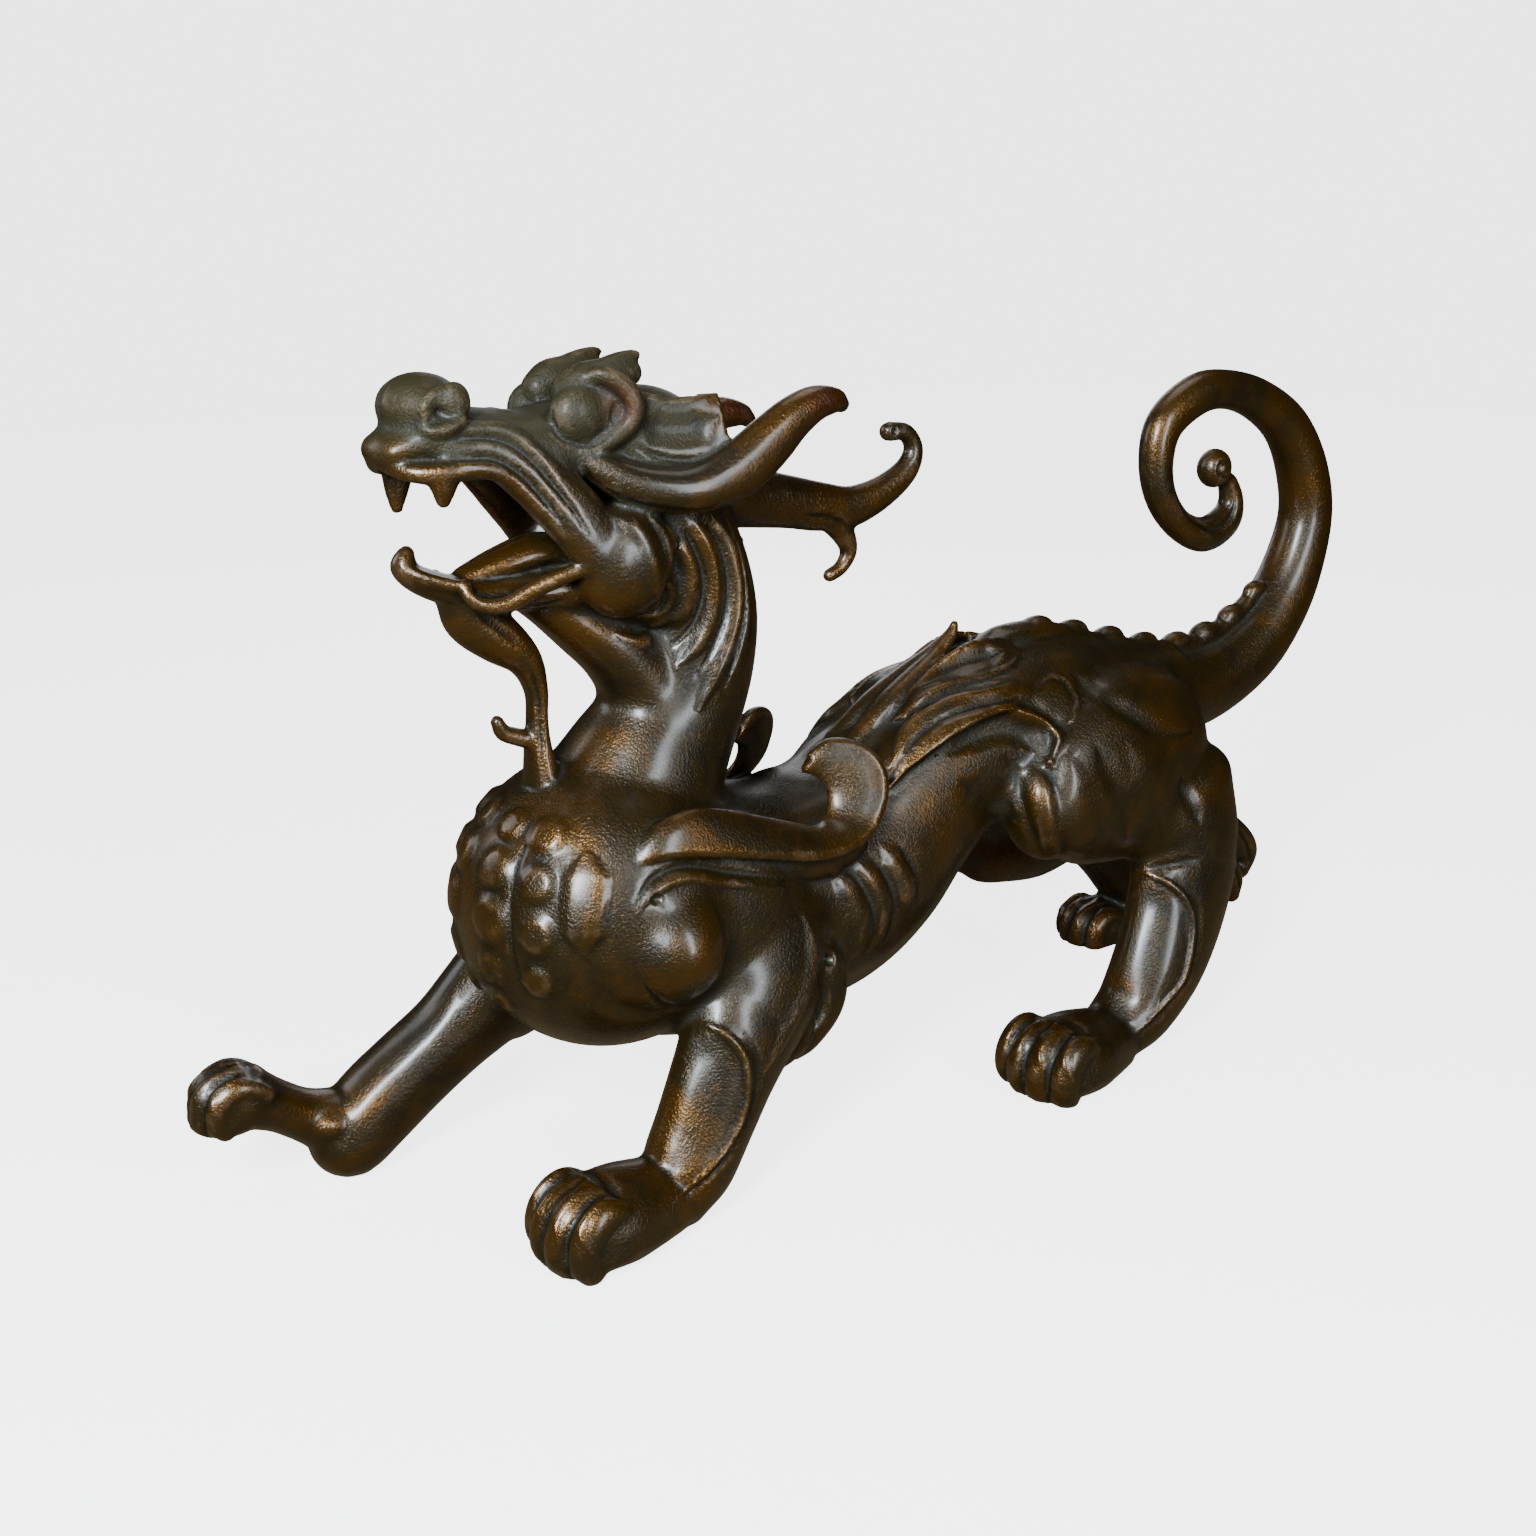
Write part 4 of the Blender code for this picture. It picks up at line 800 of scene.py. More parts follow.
@dataclass
class Legs(Form):
    """Forearms and shins, with a thin rim around the smooth channel outside the standing ones."""

    left_fore: Rows = (
        (30, -11, 53, 11, 19), (32.5, -18, 46, 12, 17.5), (34.5, -25, 36, 11.5, 15.5),
        (36, -32, 24, 11.5, 14), (37, -38, 14, 11.5, 13), (37, -42, 8, 11, 10))
    right_fore: Rows = (
        (-30, -46, 54, 13, 19), (-33, -60, 42, 12.5, 15.5), (-34.5, -72, 32.5, 12, 12.8),
        (-35.5, -84, 24, 12, 12.6), (-35.5, -94, 17, 12, 12.8), (-35, -103, 10, 12, 12))
    right_wrist: Rows = (
        (-35.5, -101, 12, 11, 11), (-35.5, -109, 16, 9, 9), (-35.5, -116, 20, 7.5, 7.2),
        (-35, -123, 25, 8, 7), (-34.4, -130, 29.5, 8.8, 8.5))
    left_hind: Rows = (
        (30, 155, 60, 12, 22), (32, 151.5, 49, 12, 21), (34, 146, 37, 12, 19.5), (35.5, 139, 26, 12, 17.5),
        (36, 130, 15, 11.5, 14), (36, 121, 9, 11, 10))
    right_hind: Rows = (
        (-32, 178, 46, 11.5, 14), (-35, 191, 32, 10.5, 12), (-36, 203, 18, 10.5, 12), (-36.5, 208, 9, 11, 11))
    fore_rim: Rows = (
        (36.5, -37, 54.5), (38.3, -33.7, 53.8), (41, -30.8, 52.6), (43, -27.6, 49.5), (44.5, -25.3, 44.9),
        (45.3, -24.7, 39.6), (45.9, -25.5, 33.4), (46.5, -28, 27.7), (47.3, -32.3, 22.6), (47.8, -37.6, 18.4),
        (47.2, -43.9, 14.4), (46.8, -49.7, 11.8))
    fore_channel: Rows = (
        (38, -37, 52), (39.7, -34.7, 46.7), (41, -34.6, 39.7), (42.8, -36.9, 31.6), (44.2, -41.9, 24.3),
        (43.7, -47.7, 18.3))
    hind_rim: Rows = (
        (30, 133, 58.5), (35, 133.6, 58.3), (40, 136.2, 56.8), (42, 140.7, 52.3), (44.5, 143, 47),
        (46.5, 143.2, 40.2), (48.1, 141.1, 32.9), (47.2, 137.8, 25.3), (47, 132.2, 20.9), (46.5, 124.9, 15.2),
        (45.5, 118, 11.4))
    hind_channel: Rows = (
        (35, 133, 54), (36.9, 131.8, 50.2), (40.3, 129.2, 39.3), (41, 125.2, 30), (40.3, 119.9, 20.5),
        (42, 113, 16))
    stretched_fore: Rows = ((-28, -73, 47), (-25, -81, 37), (-25, -93, 27), (-26, -103, 20), (-28, -113, 18))
    wrist_bone: Rows = ((-28, -111, 18),)
    rim_groove: Point = (-0.5, 3.4, 0.6)
    right_shift: Point = (2.0, -32.0, 4.0)

    def flesh(self, wax: Wax) -> None:
        """Press on the four limbs."""
        wax.loft(self.left_fore, self.right_fore, self.right_wrist, self.left_hind, self.right_hind)

    def strokes(self) -> list[Stroke]:
        """Give the rims and channels of the standing legs and the soft ridges of the stretched one."""
        drawn = []
        for rim, channel in ((self.fore_rim, self.fore_channel), (self.hind_rim, self.hind_channel)):
            drawn += [(channel, 10.0, -1.0), (rim, 1.8, 1.0), (moved(rim[3:], self.rim_groove), 2.2, -0.6)]
        drawn.append((moved(self.fore_rim[:9], self.right_shift, True), 1.9, 0.9))
        return singles((*drawn, (self.stretched_fore, 9.0, 0.7), (self.wrist_bone, 5.0, 1.2)))


class Stance(Enum):
    """How a paw meets the ground, as the half width and the half height of its ball of the foot."""

    PLANTED = (14.0, 12.0)
    GATHERED = (15.4, 12.0)
    TRAILING = (12.0, 10.0)
    RAISED = (9.8, 9.5)


@dataclass
class Paw(Form):
    """Heel, instep and a blunt block of four toes, parted by narrow cuts.

    A spot on it is a share of the half width, a way forward and a share of the half height.
    """

    heel: Point | None
    ball_of_foot: Point
    splay: float
    stance: Stance = Stance.PLANTED
    slots: Rows = ((-0.68, -2.6), (-0.23, 0.0), (0.23, 0.0), (0.68, -2.6))
    toe: Rows = (
        (-4.0, 0.20, 0.24), (1.0, 0.50, 0.30), (5.4, 0.42, 0.33), (8.6, 0.08, 0.34), (9.0, -0.32, 0.33),
        (7.2, -0.64, 0.28))
    toe_breadth: float = 0.86
    cuts: Rows = ((-0.48, 8.6), (0.0, 11.0), (0.48, 8.6))
    hollow: Rows = ((-0.7, -5.2, 0.9), (0.0, -4.0, 1.0), (0.7, -5.2, 0.9))

    def _spot(self, slot: float, forward: float, up: float) -> Point:
        """Place a spot of the paw."""
        width, height = self.stance.value
        turn = math.radians(self.splay)
        x, y = slot * width, -forward
        cx, cy, cz = self.ball_of_foot
        return (cx + x * math.cos(turn) - y * math.sin(turn), cy + x * math.sin(turn) + y * math.cos(turn),
                cz + up * height)

    def flesh(self, wax: Wax) -> None:
        """Press on the sole, the instep and the ball of the foot."""
        width, height = self.stance.value
        bx, by, bz = self.ball_of_foot
        if self.heel:
            hx, hy, hz = self.heel
            mx, my, mz = ((a + b) / 2 for a, b in zip(self.heel, self.ball_of_foot))
            sole = ((hx, hy + 2, hz - 3, 9.5, 6), (hx, hy, hz - 3, 11, 6.5), (mx, my, 6, width * 0.99, 6.6),
                    (bx, by + 4, 6, width * 1.02, 7), (bx, by - 3, 6, width * 0.98, 7))
            instep = ((hx, hy + 4, hz - 1, 9, 8), (hx, hy, hz - 1, 11, 10),
                      (mx, my, mz - 1, width * 0.96, height * 1.02),
                      (bx, by + 6, bz - 1, width, height * 1.02), (bx, by, bz - 1, width * 0.97, height))
            wax.loft(sole, instep)
        wax.ball(self.ball_of_foot, (width * 0.97, 10, height))
        wax.ball(self._spot(0.0, 2.2, 0.0), (width * 0.94, 10.4, height * 0.94))
        wax.ball(self._spot(0.0, 2.6, -0.42), (width * 0.94, 10.6, height * 0.6))

    def detail(self, wax: Wax) -> None:
        """Press on the toes, from the knuckles over the front and back under the paw."""
        width = self.stance.value[0]
        for slot, back in self.slots:
            wax.loft(tuple(
                (*self._spot(slot, back + reach, up), share * width * self.toe_breadth, share * width)
                for reach, up, share in self.toe))

    def strokes(self) -> list[Stroke]:
        """Give the cuts between the toes, the ridges on them and the hollow behind the knuckles."""
        drawn = []
        for slot, reach in self.cuts:
            spots = ((-1.5, 0.95), (2.0, 0.94), (reach * 0.7, 0.6), (reach, 0.08), (reach, -0.5),
                     (reach - 1, -0.85))
            drawn.append((tuple(self._spot(slot, *spot) for spot in spots), 1.7, -0.8))
        for slot, back in self.slots:
            path = tuple(self._spot(slot, back + reach, up + share) for reach, up, share in self.toe[1:-1])
            drawn.append((path, 1.6, 0.7))
        return singles((*drawn, (tuple(self._spot(*spot) for spot in self.hollow), 3.0, -0.9)))


@dataclass
class Wings(Form):
    """Scooped wings that lie along the shoulders and curl up into a cup."""

    low: Rows = (
        (30, -53, 91), (32, -47, 99), (34, -40, 101), (35, -27, 99), (35, -13, 95.5), (34.5, 1, 92),
        (33.5, 13, 90.5), (31.5, 23.5, 92.5), (29.5, 29.5, 98.5), (28, 31.5, 105), (25.5, 30.5, 110.5),
        (22, 26.5, 114), (19, 20.5, 115), (18, 15, 112.5))
    high: Rows = (
        (29, -48, 97), (30, -43, 104.5), (31, -34, 108), (31, -23, 106), (30, -9, 101), (29, 2, 97),
        (27.5, 9.5, 94.5), (25.5, 15, 95), (24, 18.5, 98.5), (22.5, 19.5, 103), (21, 18.5, 106.5),
        (19, 16, 108.5), (18, 14, 109.5), (17.5, 13, 109.5))
    filling: Rows = (
        (26, -44, 93, 6, 6), (27, -30, 97, 6, 7), (27, -15, 94, 6, 7), (26, 0, 89, 7, 7), (25, 12, 87, 7, 7),
        (24, 22, 89, 6, 7))
    thickness: float = 4.6
    low_roll: Point = (1.6, 2.0, 1.4)   # radius at the first point, between, and at the last
    high_roll: Point = (1.2, 1.5, 1.0)
    # the groove below the lower rim, and a second ridge under it
    lines: Lines = (
        (((35, -51, 90), (35.5, -46, 95.5), (35.5, -38, 97), (35.5, -28, 94.5), (35, -18, 90.5),
          (34, -5, 86.5)), 1.5, -0.9),
        (((35, -51, 87), (36, -46, 92), (36, -38, 94), (36, -29, 91.5), (35, -18, 87.5), (34, -6, 83.5)),
         2.0, 0.8))

    def detail(self, wax: Wax) -> None:
        """Press on the sheet, its rolled rims and the wax behind it."""
        wax.strap(self.low, self.high, self.thickness)
        for edge, (first, between, last) in ((self.low, self.low_roll), (self.high, self.high_roll)):
            radii = (first, *[between] * (len(edge) - 2), last)
            wax.cord(tuple((*point, radius) for point, radius in zip(edge, radii)))
        wax.loft(self.filling, mirrored=True)


@dataclass
class Tufts(Form):
    """Locks of hair at the elbows and the hocks."""

    elbow: tuple[Rows, ...] = (
        ((31, 4, 64, 5, 5), (32, 9, 56, 5, 7), (32, 9.5, 46, 4.5, 6.5), (32, 4, 37, 3.5, 4),
         (32, 0, 33, 1.5, 2)),
        ((33, -1, 49, 4, 5), (33, 1, 42, 4, 5), (33, -2, 36.5, 3, 4), (33, -6, 33, 2, 2.5)))
    hock: tuple[Rows, ...] = (
        ((27, 166, 66, 7, 7), (26, 179, 60, 5.5, 7), (25.5, 189, 53, 4.5, 5), (25.5, 188, 46, 3.5, 3.5)),
        ((27, 172, 54, 6, 7), (27, 181, 45, 4.5, 5), (27, 183, 38.5, 3, 3)),
        ((29, 166, 46, 5, 6), (30, 170, 38, 4, 5), (31, 167, 30, 2, 2.5)))
    right_elbow: Point = (1.0, -22.0, 7.0)
    right_hock: Point = (-6.0, 26.0, -14.0)
    # the hairs of the elbow and the hock, and the holes behind them
    single_lines: Lines = (
        (((36.5, 5, 56), (36.5, 7, 47), (36.5, 1, 38)), 1.2, -0.9),
        (((37, 8, 61),), 2.6, -2.6),
        (((31, 176, 66), (31, 184, 58), (29.5, 188, 50)), 1.1, -0.8),
        (((32, 176, 52), (31.5, 181, 46), (30, 183, 41)), 1.1, -0.8),
        (((34, 166, 64), (34, 171, 60)), 2.2, -1.4))

    def detail(self, wax: Wax) -> None:
        """Press on the locks of the left side, and the same locks where the right limbs are."""
        wax.loft(*self.elbow, *self.hock)
        wax.loft(*(moved(lock, self.right_elbow, True) for lock in self.elbow))
        wax.loft(*(moved(lock, self.right_hock, True) for lock in self.hock))


@dataclass
class Flames(Form):
    """Flame locks that rise from the waist over the hips, each with a thin worn crest."""

    bed: Rows = (
        (13, 30, 94, 5, 4), (13, 44, 104, 8, 5), (14, 60, 114, 9, 5.5), (14, 75, 117.5, 9, 5.5),
        (15, 90, 118.5, 8, 5.5), (15, 104, 116, 6, 5))
    leaf_low: Rows = (
        (12, 51, 116), (12, 59, 121), (12, 68, 123.4), (12.5, 78, 124), (13, 86, 124.6), (12, 93, 127),
        (9, 98, 129))
    leaf_high: Rows = (
        (7, 51, 112), (6.5, 58, 120), (6, 66, 125.5), (5.8, 74, 130), (6.2, 82, 132.8), (5.6, 90, 132.6),
        (5, 97, 131))
    leaf_thickness: float = 3.0
    spike: Rows = (
        (4, 40, 108, 3.5, 3), (3, 52, 117.5, 4, 3.2), (2, 64, 124.5, 3.6, 3.2), (1, 73, 130, 2.6, 2.6),
        (0, 79, 135, 2.0, 2.1), (0, 80.5, 138.2, 1.2, 1.3))
    outer_crest: Rows = (
        (20, 38, 98), (21.8, 42.2, 102.5), (22.8, 48.4, 107.1), (23.5, 56.8, 111.8), (23.7, 63.4, 114.5),
        (24.3, 70, 116.4), (25.1, 76.3, 117.3), (26.5, 81.1, 117.4), (27.4, 86.4, 116.3), (28.4, 90.5, 114.2),
        (29.6, 93.3, 111.5), (30.8, 95, 108.1), (31.6, 93.8, 104.9), (32, 92.3, 102.8), (31.9, 90.6, 101))
    second_crest: Rows = (
        (19, 42, 105), (18.4, 45.6, 109.1), (16.1, 49.6, 113.1), (15.7, 53.9, 116.9), (16.4, 60.2, 119.6),
        (17.7, 68.4, 120.7), (19.3, 76.5, 120.9), (19.6, 83.5, 121.4), (18.4, 88.2, 122.7))
    second_groove: Rows = (
        (20.2, 45.9, 108.8), (19.8, 52.9, 113.8), (20.5, 61.5, 116.8), (22.1, 71.8, 118.8),
        (23.7, 79.9, 119.4), (24, 86.9, 119.9))
    leaf_groove: Rows = (
        (15.5, 53, 119), (15.5, 60.5, 121.5), (15.6, 68, 122.8), (16.8, 76.6, 123), (17.5, 84.8, 123))
    leaf_hollow: Rows = ((9, 62, 124), (8.8, 71, 126.9), (8.9, 78, 128.8), (10, 85, 129.6), (10, 90, 130))
    outer_hollow: Rows = (
        (22.7, 60, 107), (23, 70, 110), (23.8, 80, 110.6), (26, 86, 108.5), (28, 88.6, 104.6))
    curl: Point = (25.2, 98.9, 117.3)
    curl_rim: Rows = (
        (21.1, 95.7, 122.2), (19.9, 101.8, 123.4), (20.9, 106, 122.3), (23.8, 107.2, 119.3),
        (26.8, 106.1, 115.8), (29.4, 102.3, 112.6), (29, 98.9, 110.9))

    def flesh(self, wax: Wax) -> None:
        """Press on the bed of the locks."""
        wax.loft(self.bed, mirrored=True)

    def detail(self, wax: Wax) -> None:
        """Press on the leaf-shaped lock and the spike."""
        wax.strap(self.leaf_low, self.leaf_high, self.leaf_thickness)
        wax.loft(self.spike, mirrored=True)

    def strokes(self) -> list[Stroke]:
        """Give the stepped crests of the locks, the hollows beside them and the round curl."""
        return [Stroke(*line) for line in (
            (self.outer_hollow, 5.5, -1.6), (self.outer_crest, 3.8, 1.3), (self.outer_crest, 1.7, 1.1),
            (self.outer_crest[-1:], 2.8, 1.4), (self.second_groove, 2.4, -0.9), (self.second_crest, 3.2, 1.4),
            (self.leaf_groove, 1.8, -0.9), (self.leaf_hollow, 5.0, -1.7), (self.leaf_low, 1.4, 0.6),
            (self.leaf_high, 1.4, 0.6), ((self.curl,), 8.0, 0.7, Profile.PAD), (self.curl_rim, 1.5, 0.5))]


# ------------------------------------------------------------------ the finish

class Sheen(Enum):
    """Roughness of the wax, from rubbed to dull."""

    RUBBED = 0.24
    WAXED = 0.34
    DULL = 0.62


# the fourth mask is shade painted into the creases and onto the back between the wings; edge marks the crests
# that get a painted highlight
MASKS = ("worn", "edge", "hollow", "crease", "olive", "russet")
# the fifth colour is painted shade; pale is a painted highlight along the crests, mixed with real dust specks
COATS = ("umber", "golden", "olive", "russet", "black", "pale")


def tinted(tree: bpy.types.NodeTree, factor: Socket, under: Socket | Colour, over: Colour) -> Socket:
    """Lay a colour over another by a factor.

    Args:
        tree: the node tree that does it.
        factor: how far the upper colour covers, from 0 to 1.
        under: the lower colour, or the socket that gives it.
        over: the upper colour.

    Returns:
        The socket that gives the mixed colour.
    """
    mix = tree.nodes.new("ShaderNodeMix")
    mix.data_type = "RGBA"
    if isinstance(under, tuple):
        mix.inputs["A"].default_value = (*under, 1.0)
    else:
        tree.links.new(under, mix.inputs["A"])
    mix.inputs["B"].default_value = (*over, 1.0)
    tree.links.new(factor, mix.inputs["Factor"])
    return mix.outputs["Result"]


def remapped(tree: bpy.types.NodeTree, value: Socket, smooth: bool = False, **limits: float) -> Socket:
    """Read a value between two limits as another range, clamped; limits are named as the node's sockets."""
    node = tree.nodes.new("ShaderNodeMapRange")
    node.interpolation_type = "SMOOTHSTEP" if smooth else "LINEAR"
    for name, number in limits.items():
        node.inputs[name.replace("_", " ").title()].default_value = number
    tree.links.new(value, node.inputs["Value"])
    return node.outputs["Result"]


@dataclass(frozen=True)
class Ageing:
    """How a casting ages, with shade painted into its creases and highlights painted along its crests.
    Noises are scale in cells per metre, detail, roughness and distortion.

    Limits are where a mask starts and where it is full.
    """

    blotch: tuple[float, ...] = (26.0, 4.0, 0.62, 0.5)
    mottle: tuple[float, ...] = (110.0, 5.0, 0.65, 0.6)
    specks: tuple[float, ...] = (900.0, 2.0, 0.6, 0.0)
    umber_limits: Pair = (0.40, 0.62)
    rub: Point = (0.30, 1.7, 0.7)          # weights of wear, blotches and mottle
    golden_limits: Pair = (1.17, 1.72)
    golden_strength: float = 0.8
    sink: Pair = (0.6, -0.9)               # weights of hollows and blotches
    olive_limits: Pair = (-0.42, 0.30)
    olive_strength: float = 0.85
    russet_limits: Pair = (0.3, 0.6)
    # painted shade in the creases and between the wings: where it starts, where it is full, and how strong
    black_limits: Pair = (0.2, 1.0)
    black_strength: float = 0.6
    # painted highlight along the crests: where it starts and is full, and where the mottle leaves gaps in it
    edge_limits: Pair = (0.45, 1.0)
    edge_gaps: Pair = (0.48, 0.60)
    speck_limits: Pair = (0.70, 0.78)
    dust_limits: Pair = (0.45, 0.6)
    dust_strength: float = 0.6
    # covers both the painted highlight on the crests and the dust specks
    pale_strength: float = 0.15
    unevenness: float = 0.3                # how far the mottle changes the roughness
    least_roughness: float = 0.16
    metal: Point = (0.5, 0.3, 0.35)        # bare, gained where golden, lost where olive
    coat: Pair = (0.9, 0.75)               # full, and lost where dull
    crinkle_scale: float = 1350.0
    fine: tuple[float, ...] = (1900.0, 2.0, 0.6, 0.0)
    soft: tuple[float, ...] = (420.0, 2.0, 0.5, 0.5)
    grain: Point = (0.24, 0.30, 0.12)      # heights of the crinkle, the fine and the soft grain

    def group(self) -> bpy.types.NodeTree:
        """Build the group that ages a casting, paints shade into its creases and paints highlights along its
        crests.

        Returns:
            A group whose outputs are masks for the colours, the sheen and the height of the grain.
        """
        masks = (f"{name.capitalize()} mask" for name in COATS)
        group = Group("aged_casting", ("Place", *(name.capitalize() for name in MASKS)),
                      (*masks, "Roughness", "Metallic", "Coat", "Height"))
        given, give, ramp, math_node, blend = group.given, group.give, group.ramp, group.math, group.blend
        blotch, mottle, specks = (group.noise(*noise) for noise in (self.blotch, self.mottle, self.specks))

        give("Umber mask", ramp(mottle, self.umber_limits))
        rubbed = blend(self.rub, given["Worn"], blotch, mottle)
        golden = ramp(rubbed, self.golden_limits)
        give("Golden mask", math_node("MULTIPLY", golden, self.golden_strength))
        sunk = math_node("ADD", blend(self.sink, given["Hollow"], blotch), given["Olive"])
        olive = ramp(sunk, self.olive_limits)
        give("Olive mask", math_node("MULTIPLY", olive, self.olive_strength))
        give("Russet mask", math_node("MULTIPLY", given["Russet"], ramp(mottle, self.russet_limits)))
        # painted shade, darkest in the creases and on the back between the wings
        black = ramp(given["Crease"], self.black_limits)
        give("Black mask", math_node("MULTIPLY", black, self.black_strength))
        # painted highlight, pale along the crests, together with real pale dust specks
        edge = math_node("MULTIPLY", ramp(given["Edge"], self.edge_limits), ramp(mottle, self.edge_gaps))
        dust = math_node("MULTIPLY", ramp(specks, self.speck_limits), ramp(blotch, self.dust_limits))
        pale = math_node("MAXIMUM", edge, math_node("MULTIPLY", dust, self.dust_strength))
        give("Pale mask", math_node("MULTIPLY", pale, self.pale_strength))

        dulled = math_node("MULTIPLY", olive, Sheen.DULL.value - Sheen.WAXED.value)
        gloss = math_node("MULTIPLY", golden, Sheen.RUBBED.value - Sheen.WAXED.value)
        rough = math_node("ADD", Sheen.WAXED.value, math_node("ADD", dulled, gloss))
        uneven = math_node("MULTIPLY", math_node("SUBTRACT", mottle, 0.5), self.unevenness)
        give("Roughness", math_node("MAXIMUM", math_node("ADD", rough, uneven), self.least_roughness))
        bare, gained, lost = self.metal
        metal = math_node("ADD", bare, math_node("MULTIPLY", golden, gained))
        give("Metallic", math_node("SUBTRACT", metal, math_node("MULTIPLY", olive, lost), clamp=True))
        full, worn_off = self.coat
        dull = math_node("MAXIMUM", olive, given["Crease"])
        give("Coat", math_node("SUBTRACT", full, math_node("MULTIPLY", dull, worn_off), clamp=True))

        crinkle = math_node("SUBTRACT", 1.0, group.cells(self.crinkle_scale))
        give("Height", blend(self.grain, crinkle, group.noise(*self.fine), group.noise(*self.soft)))
        return group.tree


class Group:
    """A shader node group under construction."""

    def __init__(self, name: str, inputs: Sequence[str], outputs: Sequence[str]) -> None:
        """Open a group with its sockets; Place is the one vector."""
        self.tree = bpy.data.node_groups.new(name, "ShaderNodeTree")
        for sockets, way in ((inputs, "INPUT"), (outputs, "OUTPUT")):
            for socket in sockets:
                kind = "NodeSocketVector" if socket == "Place" else "NodeSocketFloat"
                self.tree.interface.new_socket(name=socket, in_out=way, socket_type=kind)
        self.given = self.tree.nodes.new("NodeGroupInput").outputs
        self.wanted = self.tree.nodes.new("NodeGroupOutput").inputs

    def noise(self, scale: float, detail: float, roughness: float, distortion: float) -> Socket:
        """Add a noise of the place, with a scale in cells per metre."""
        node = self.tree.nodes.new("ShaderNodeTexNoise")
        for name, number in (("Scale", scale), ("Detail", detail), ("Roughness", roughness),
                             ("Distortion", distortion)):
            node.inputs[name].default_value = number
        self.tree.links.new(self.given["Place"], node.inputs["Vector"])
        return node.outputs["Fac"]

    def cells(self, scale: float) -> Socket:
        """Add a soft cell pattern of the place, as its distance."""
        node = self.tree.nodes.new("ShaderNodeTexVoronoi")
        node.feature = "SMOOTH_F1"
        node.inputs["Scale"].default_value = scale
        self.tree.links.new(self.given["Place"], node.inputs["Vector"])
        return node.outputs["Distance"]

    def ramp(self, value: Socket, limits: Pair) -> Socket:
        """Read a value between two limits as 0 to 1, clamped."""
        return remapped(self.tree, value, True, from_min=limits[0], from_max=limits[1])

    def math(self, operation: str, first: Socket | float, second: Socket | float,
             clamp: bool = False) -> Socket:
        """Add one step of arithmetic."""
        node = self.tree.nodes.new("ShaderNodeMath")
        node.operation = operation
        node.use_clamp = clamp
        for slot, value in zip(node.inputs, (first, second)):
            if isinstance(value, (int, float)):
                slot.default_value = value
            else:
                self.tree.links.new(value, slot)
        return node.outputs[0]

    def blend(self, weights: Sequence[float], *values: Socket) -> Socket:
        """Add up values, each times its weight."""
        first, *others = (self.math("MULTIPLY", value, weight) for value, weight in zip(values, weights))
        for other in others:
            first = self.math("ADD", first, other)
        return first

    def give(self, name: str, value: Socket) -> None:
        """Send a value to an output."""
        self.tree.links.new(value, self.wanted[name])


@dataclass(frozen=True)
class Patina:
    """Brown patina over bronze: golden where hands rub it, olive in the hollows, under a coat of wax; shade
    is painted in the creases and on the back between the wings, and highlights along the crests.
    """

    brown: Colour = (0.027, 0.0152, 0.0016)
    umber: Colour = (0.0120, 0.0074, 0.0009)
    golden: Colour = (0.135, 0.0560, 0.0032)
    olive: Colour = (0.021, 0.0182, 0.0034)
    russet: Colour = (0.085, 0.0190, 0.0060)
    # painted shade for the creases and the back between the wings
    black: Colour = (0.0028, 0.0021, 0.0008)
    # painted highlight along the crests, also the colour of the dust specks
    pale: Colour = (0.34, 0.24, 0.15)
    ageing: Ageing = Ageing()
    coat_roughness: float = 0.24
    coat_ior: float = 1.45
    ior: float = 1.5
    grain: float = 0.00060   # in metres

    def material(self) -> bpy.types.Material:
        """Build the material, which reads Object coordinates and the piece's own attributes."""
        material = bpy.data.materials.new("waxed_brown_bronze")
        material.use_nodes = True
        tree = material.node_tree
        link = tree.links.new
        shader = tree.nodes["Principled BSDF"]
        shader.inputs["Coat Roughness"].default_value = self.coat_roughness
        shader.inputs["Coat IOR"].default_value = self.coat_ior
        shader.inputs["IOR"].default_value = self.ior
        aged = tree.nodes.new("ShaderNodeGroup")
        aged.node_tree = self.ageing.group()
        link(tree.nodes.new("ShaderNodeTexCoord").outputs["Object"], aged.inputs["Place"])
        for name in MASKS:
            reader = tree.nodes.new("ShaderNodeAttribute")
            reader.attribute_name = name
            link(reader.outputs["Fac"], aged.inputs[name.capitalize()])
        colour = self.brown
        for name in COATS:
            colour = tinted(tree, aged.outputs[f"{name.capitalize()} mask"], colour, getattr(self, name))
        link(colour, shader.inputs["Base Color"])
        for name, socket in (("Roughness", "Roughness"), ("Metallic", "Metallic"), ("Coat", "Coat Weight")):
            link(aged.outputs[name], shader.inputs[socket])
        bump = tree.nodes.new("ShaderNodeBump")
        bump.inputs["Strength"].default_value = 1.0
        bump.inputs["Distance"].default_value = self.grain
        link(aged.outputs["Height"], bump.inputs["Height"])
        link(bump.outputs["Normal"], shader.inputs["Normal"])
        return material


# ------------------------------------------------------------------ the casting

def zone(points: np.ndarray, ramps: Iterable[tuple[int, float, float]]) -> np.ndarray:
    """Mark a zone of the animal, as the product of ramps along the axes.

    Args:
        points: places, with x as the distance from the plane of the spine.
        ramps: each one's axis, where it is 0 and where it reaches 1.

    Returns:
        One share from 0 to 1 for each point.
    """
    share = np.ones(len(points))
    for axis, start, end in ramps:
        share = share * np.clip((points[:, axis] - start) / (end - start), 0, 1)
    return share


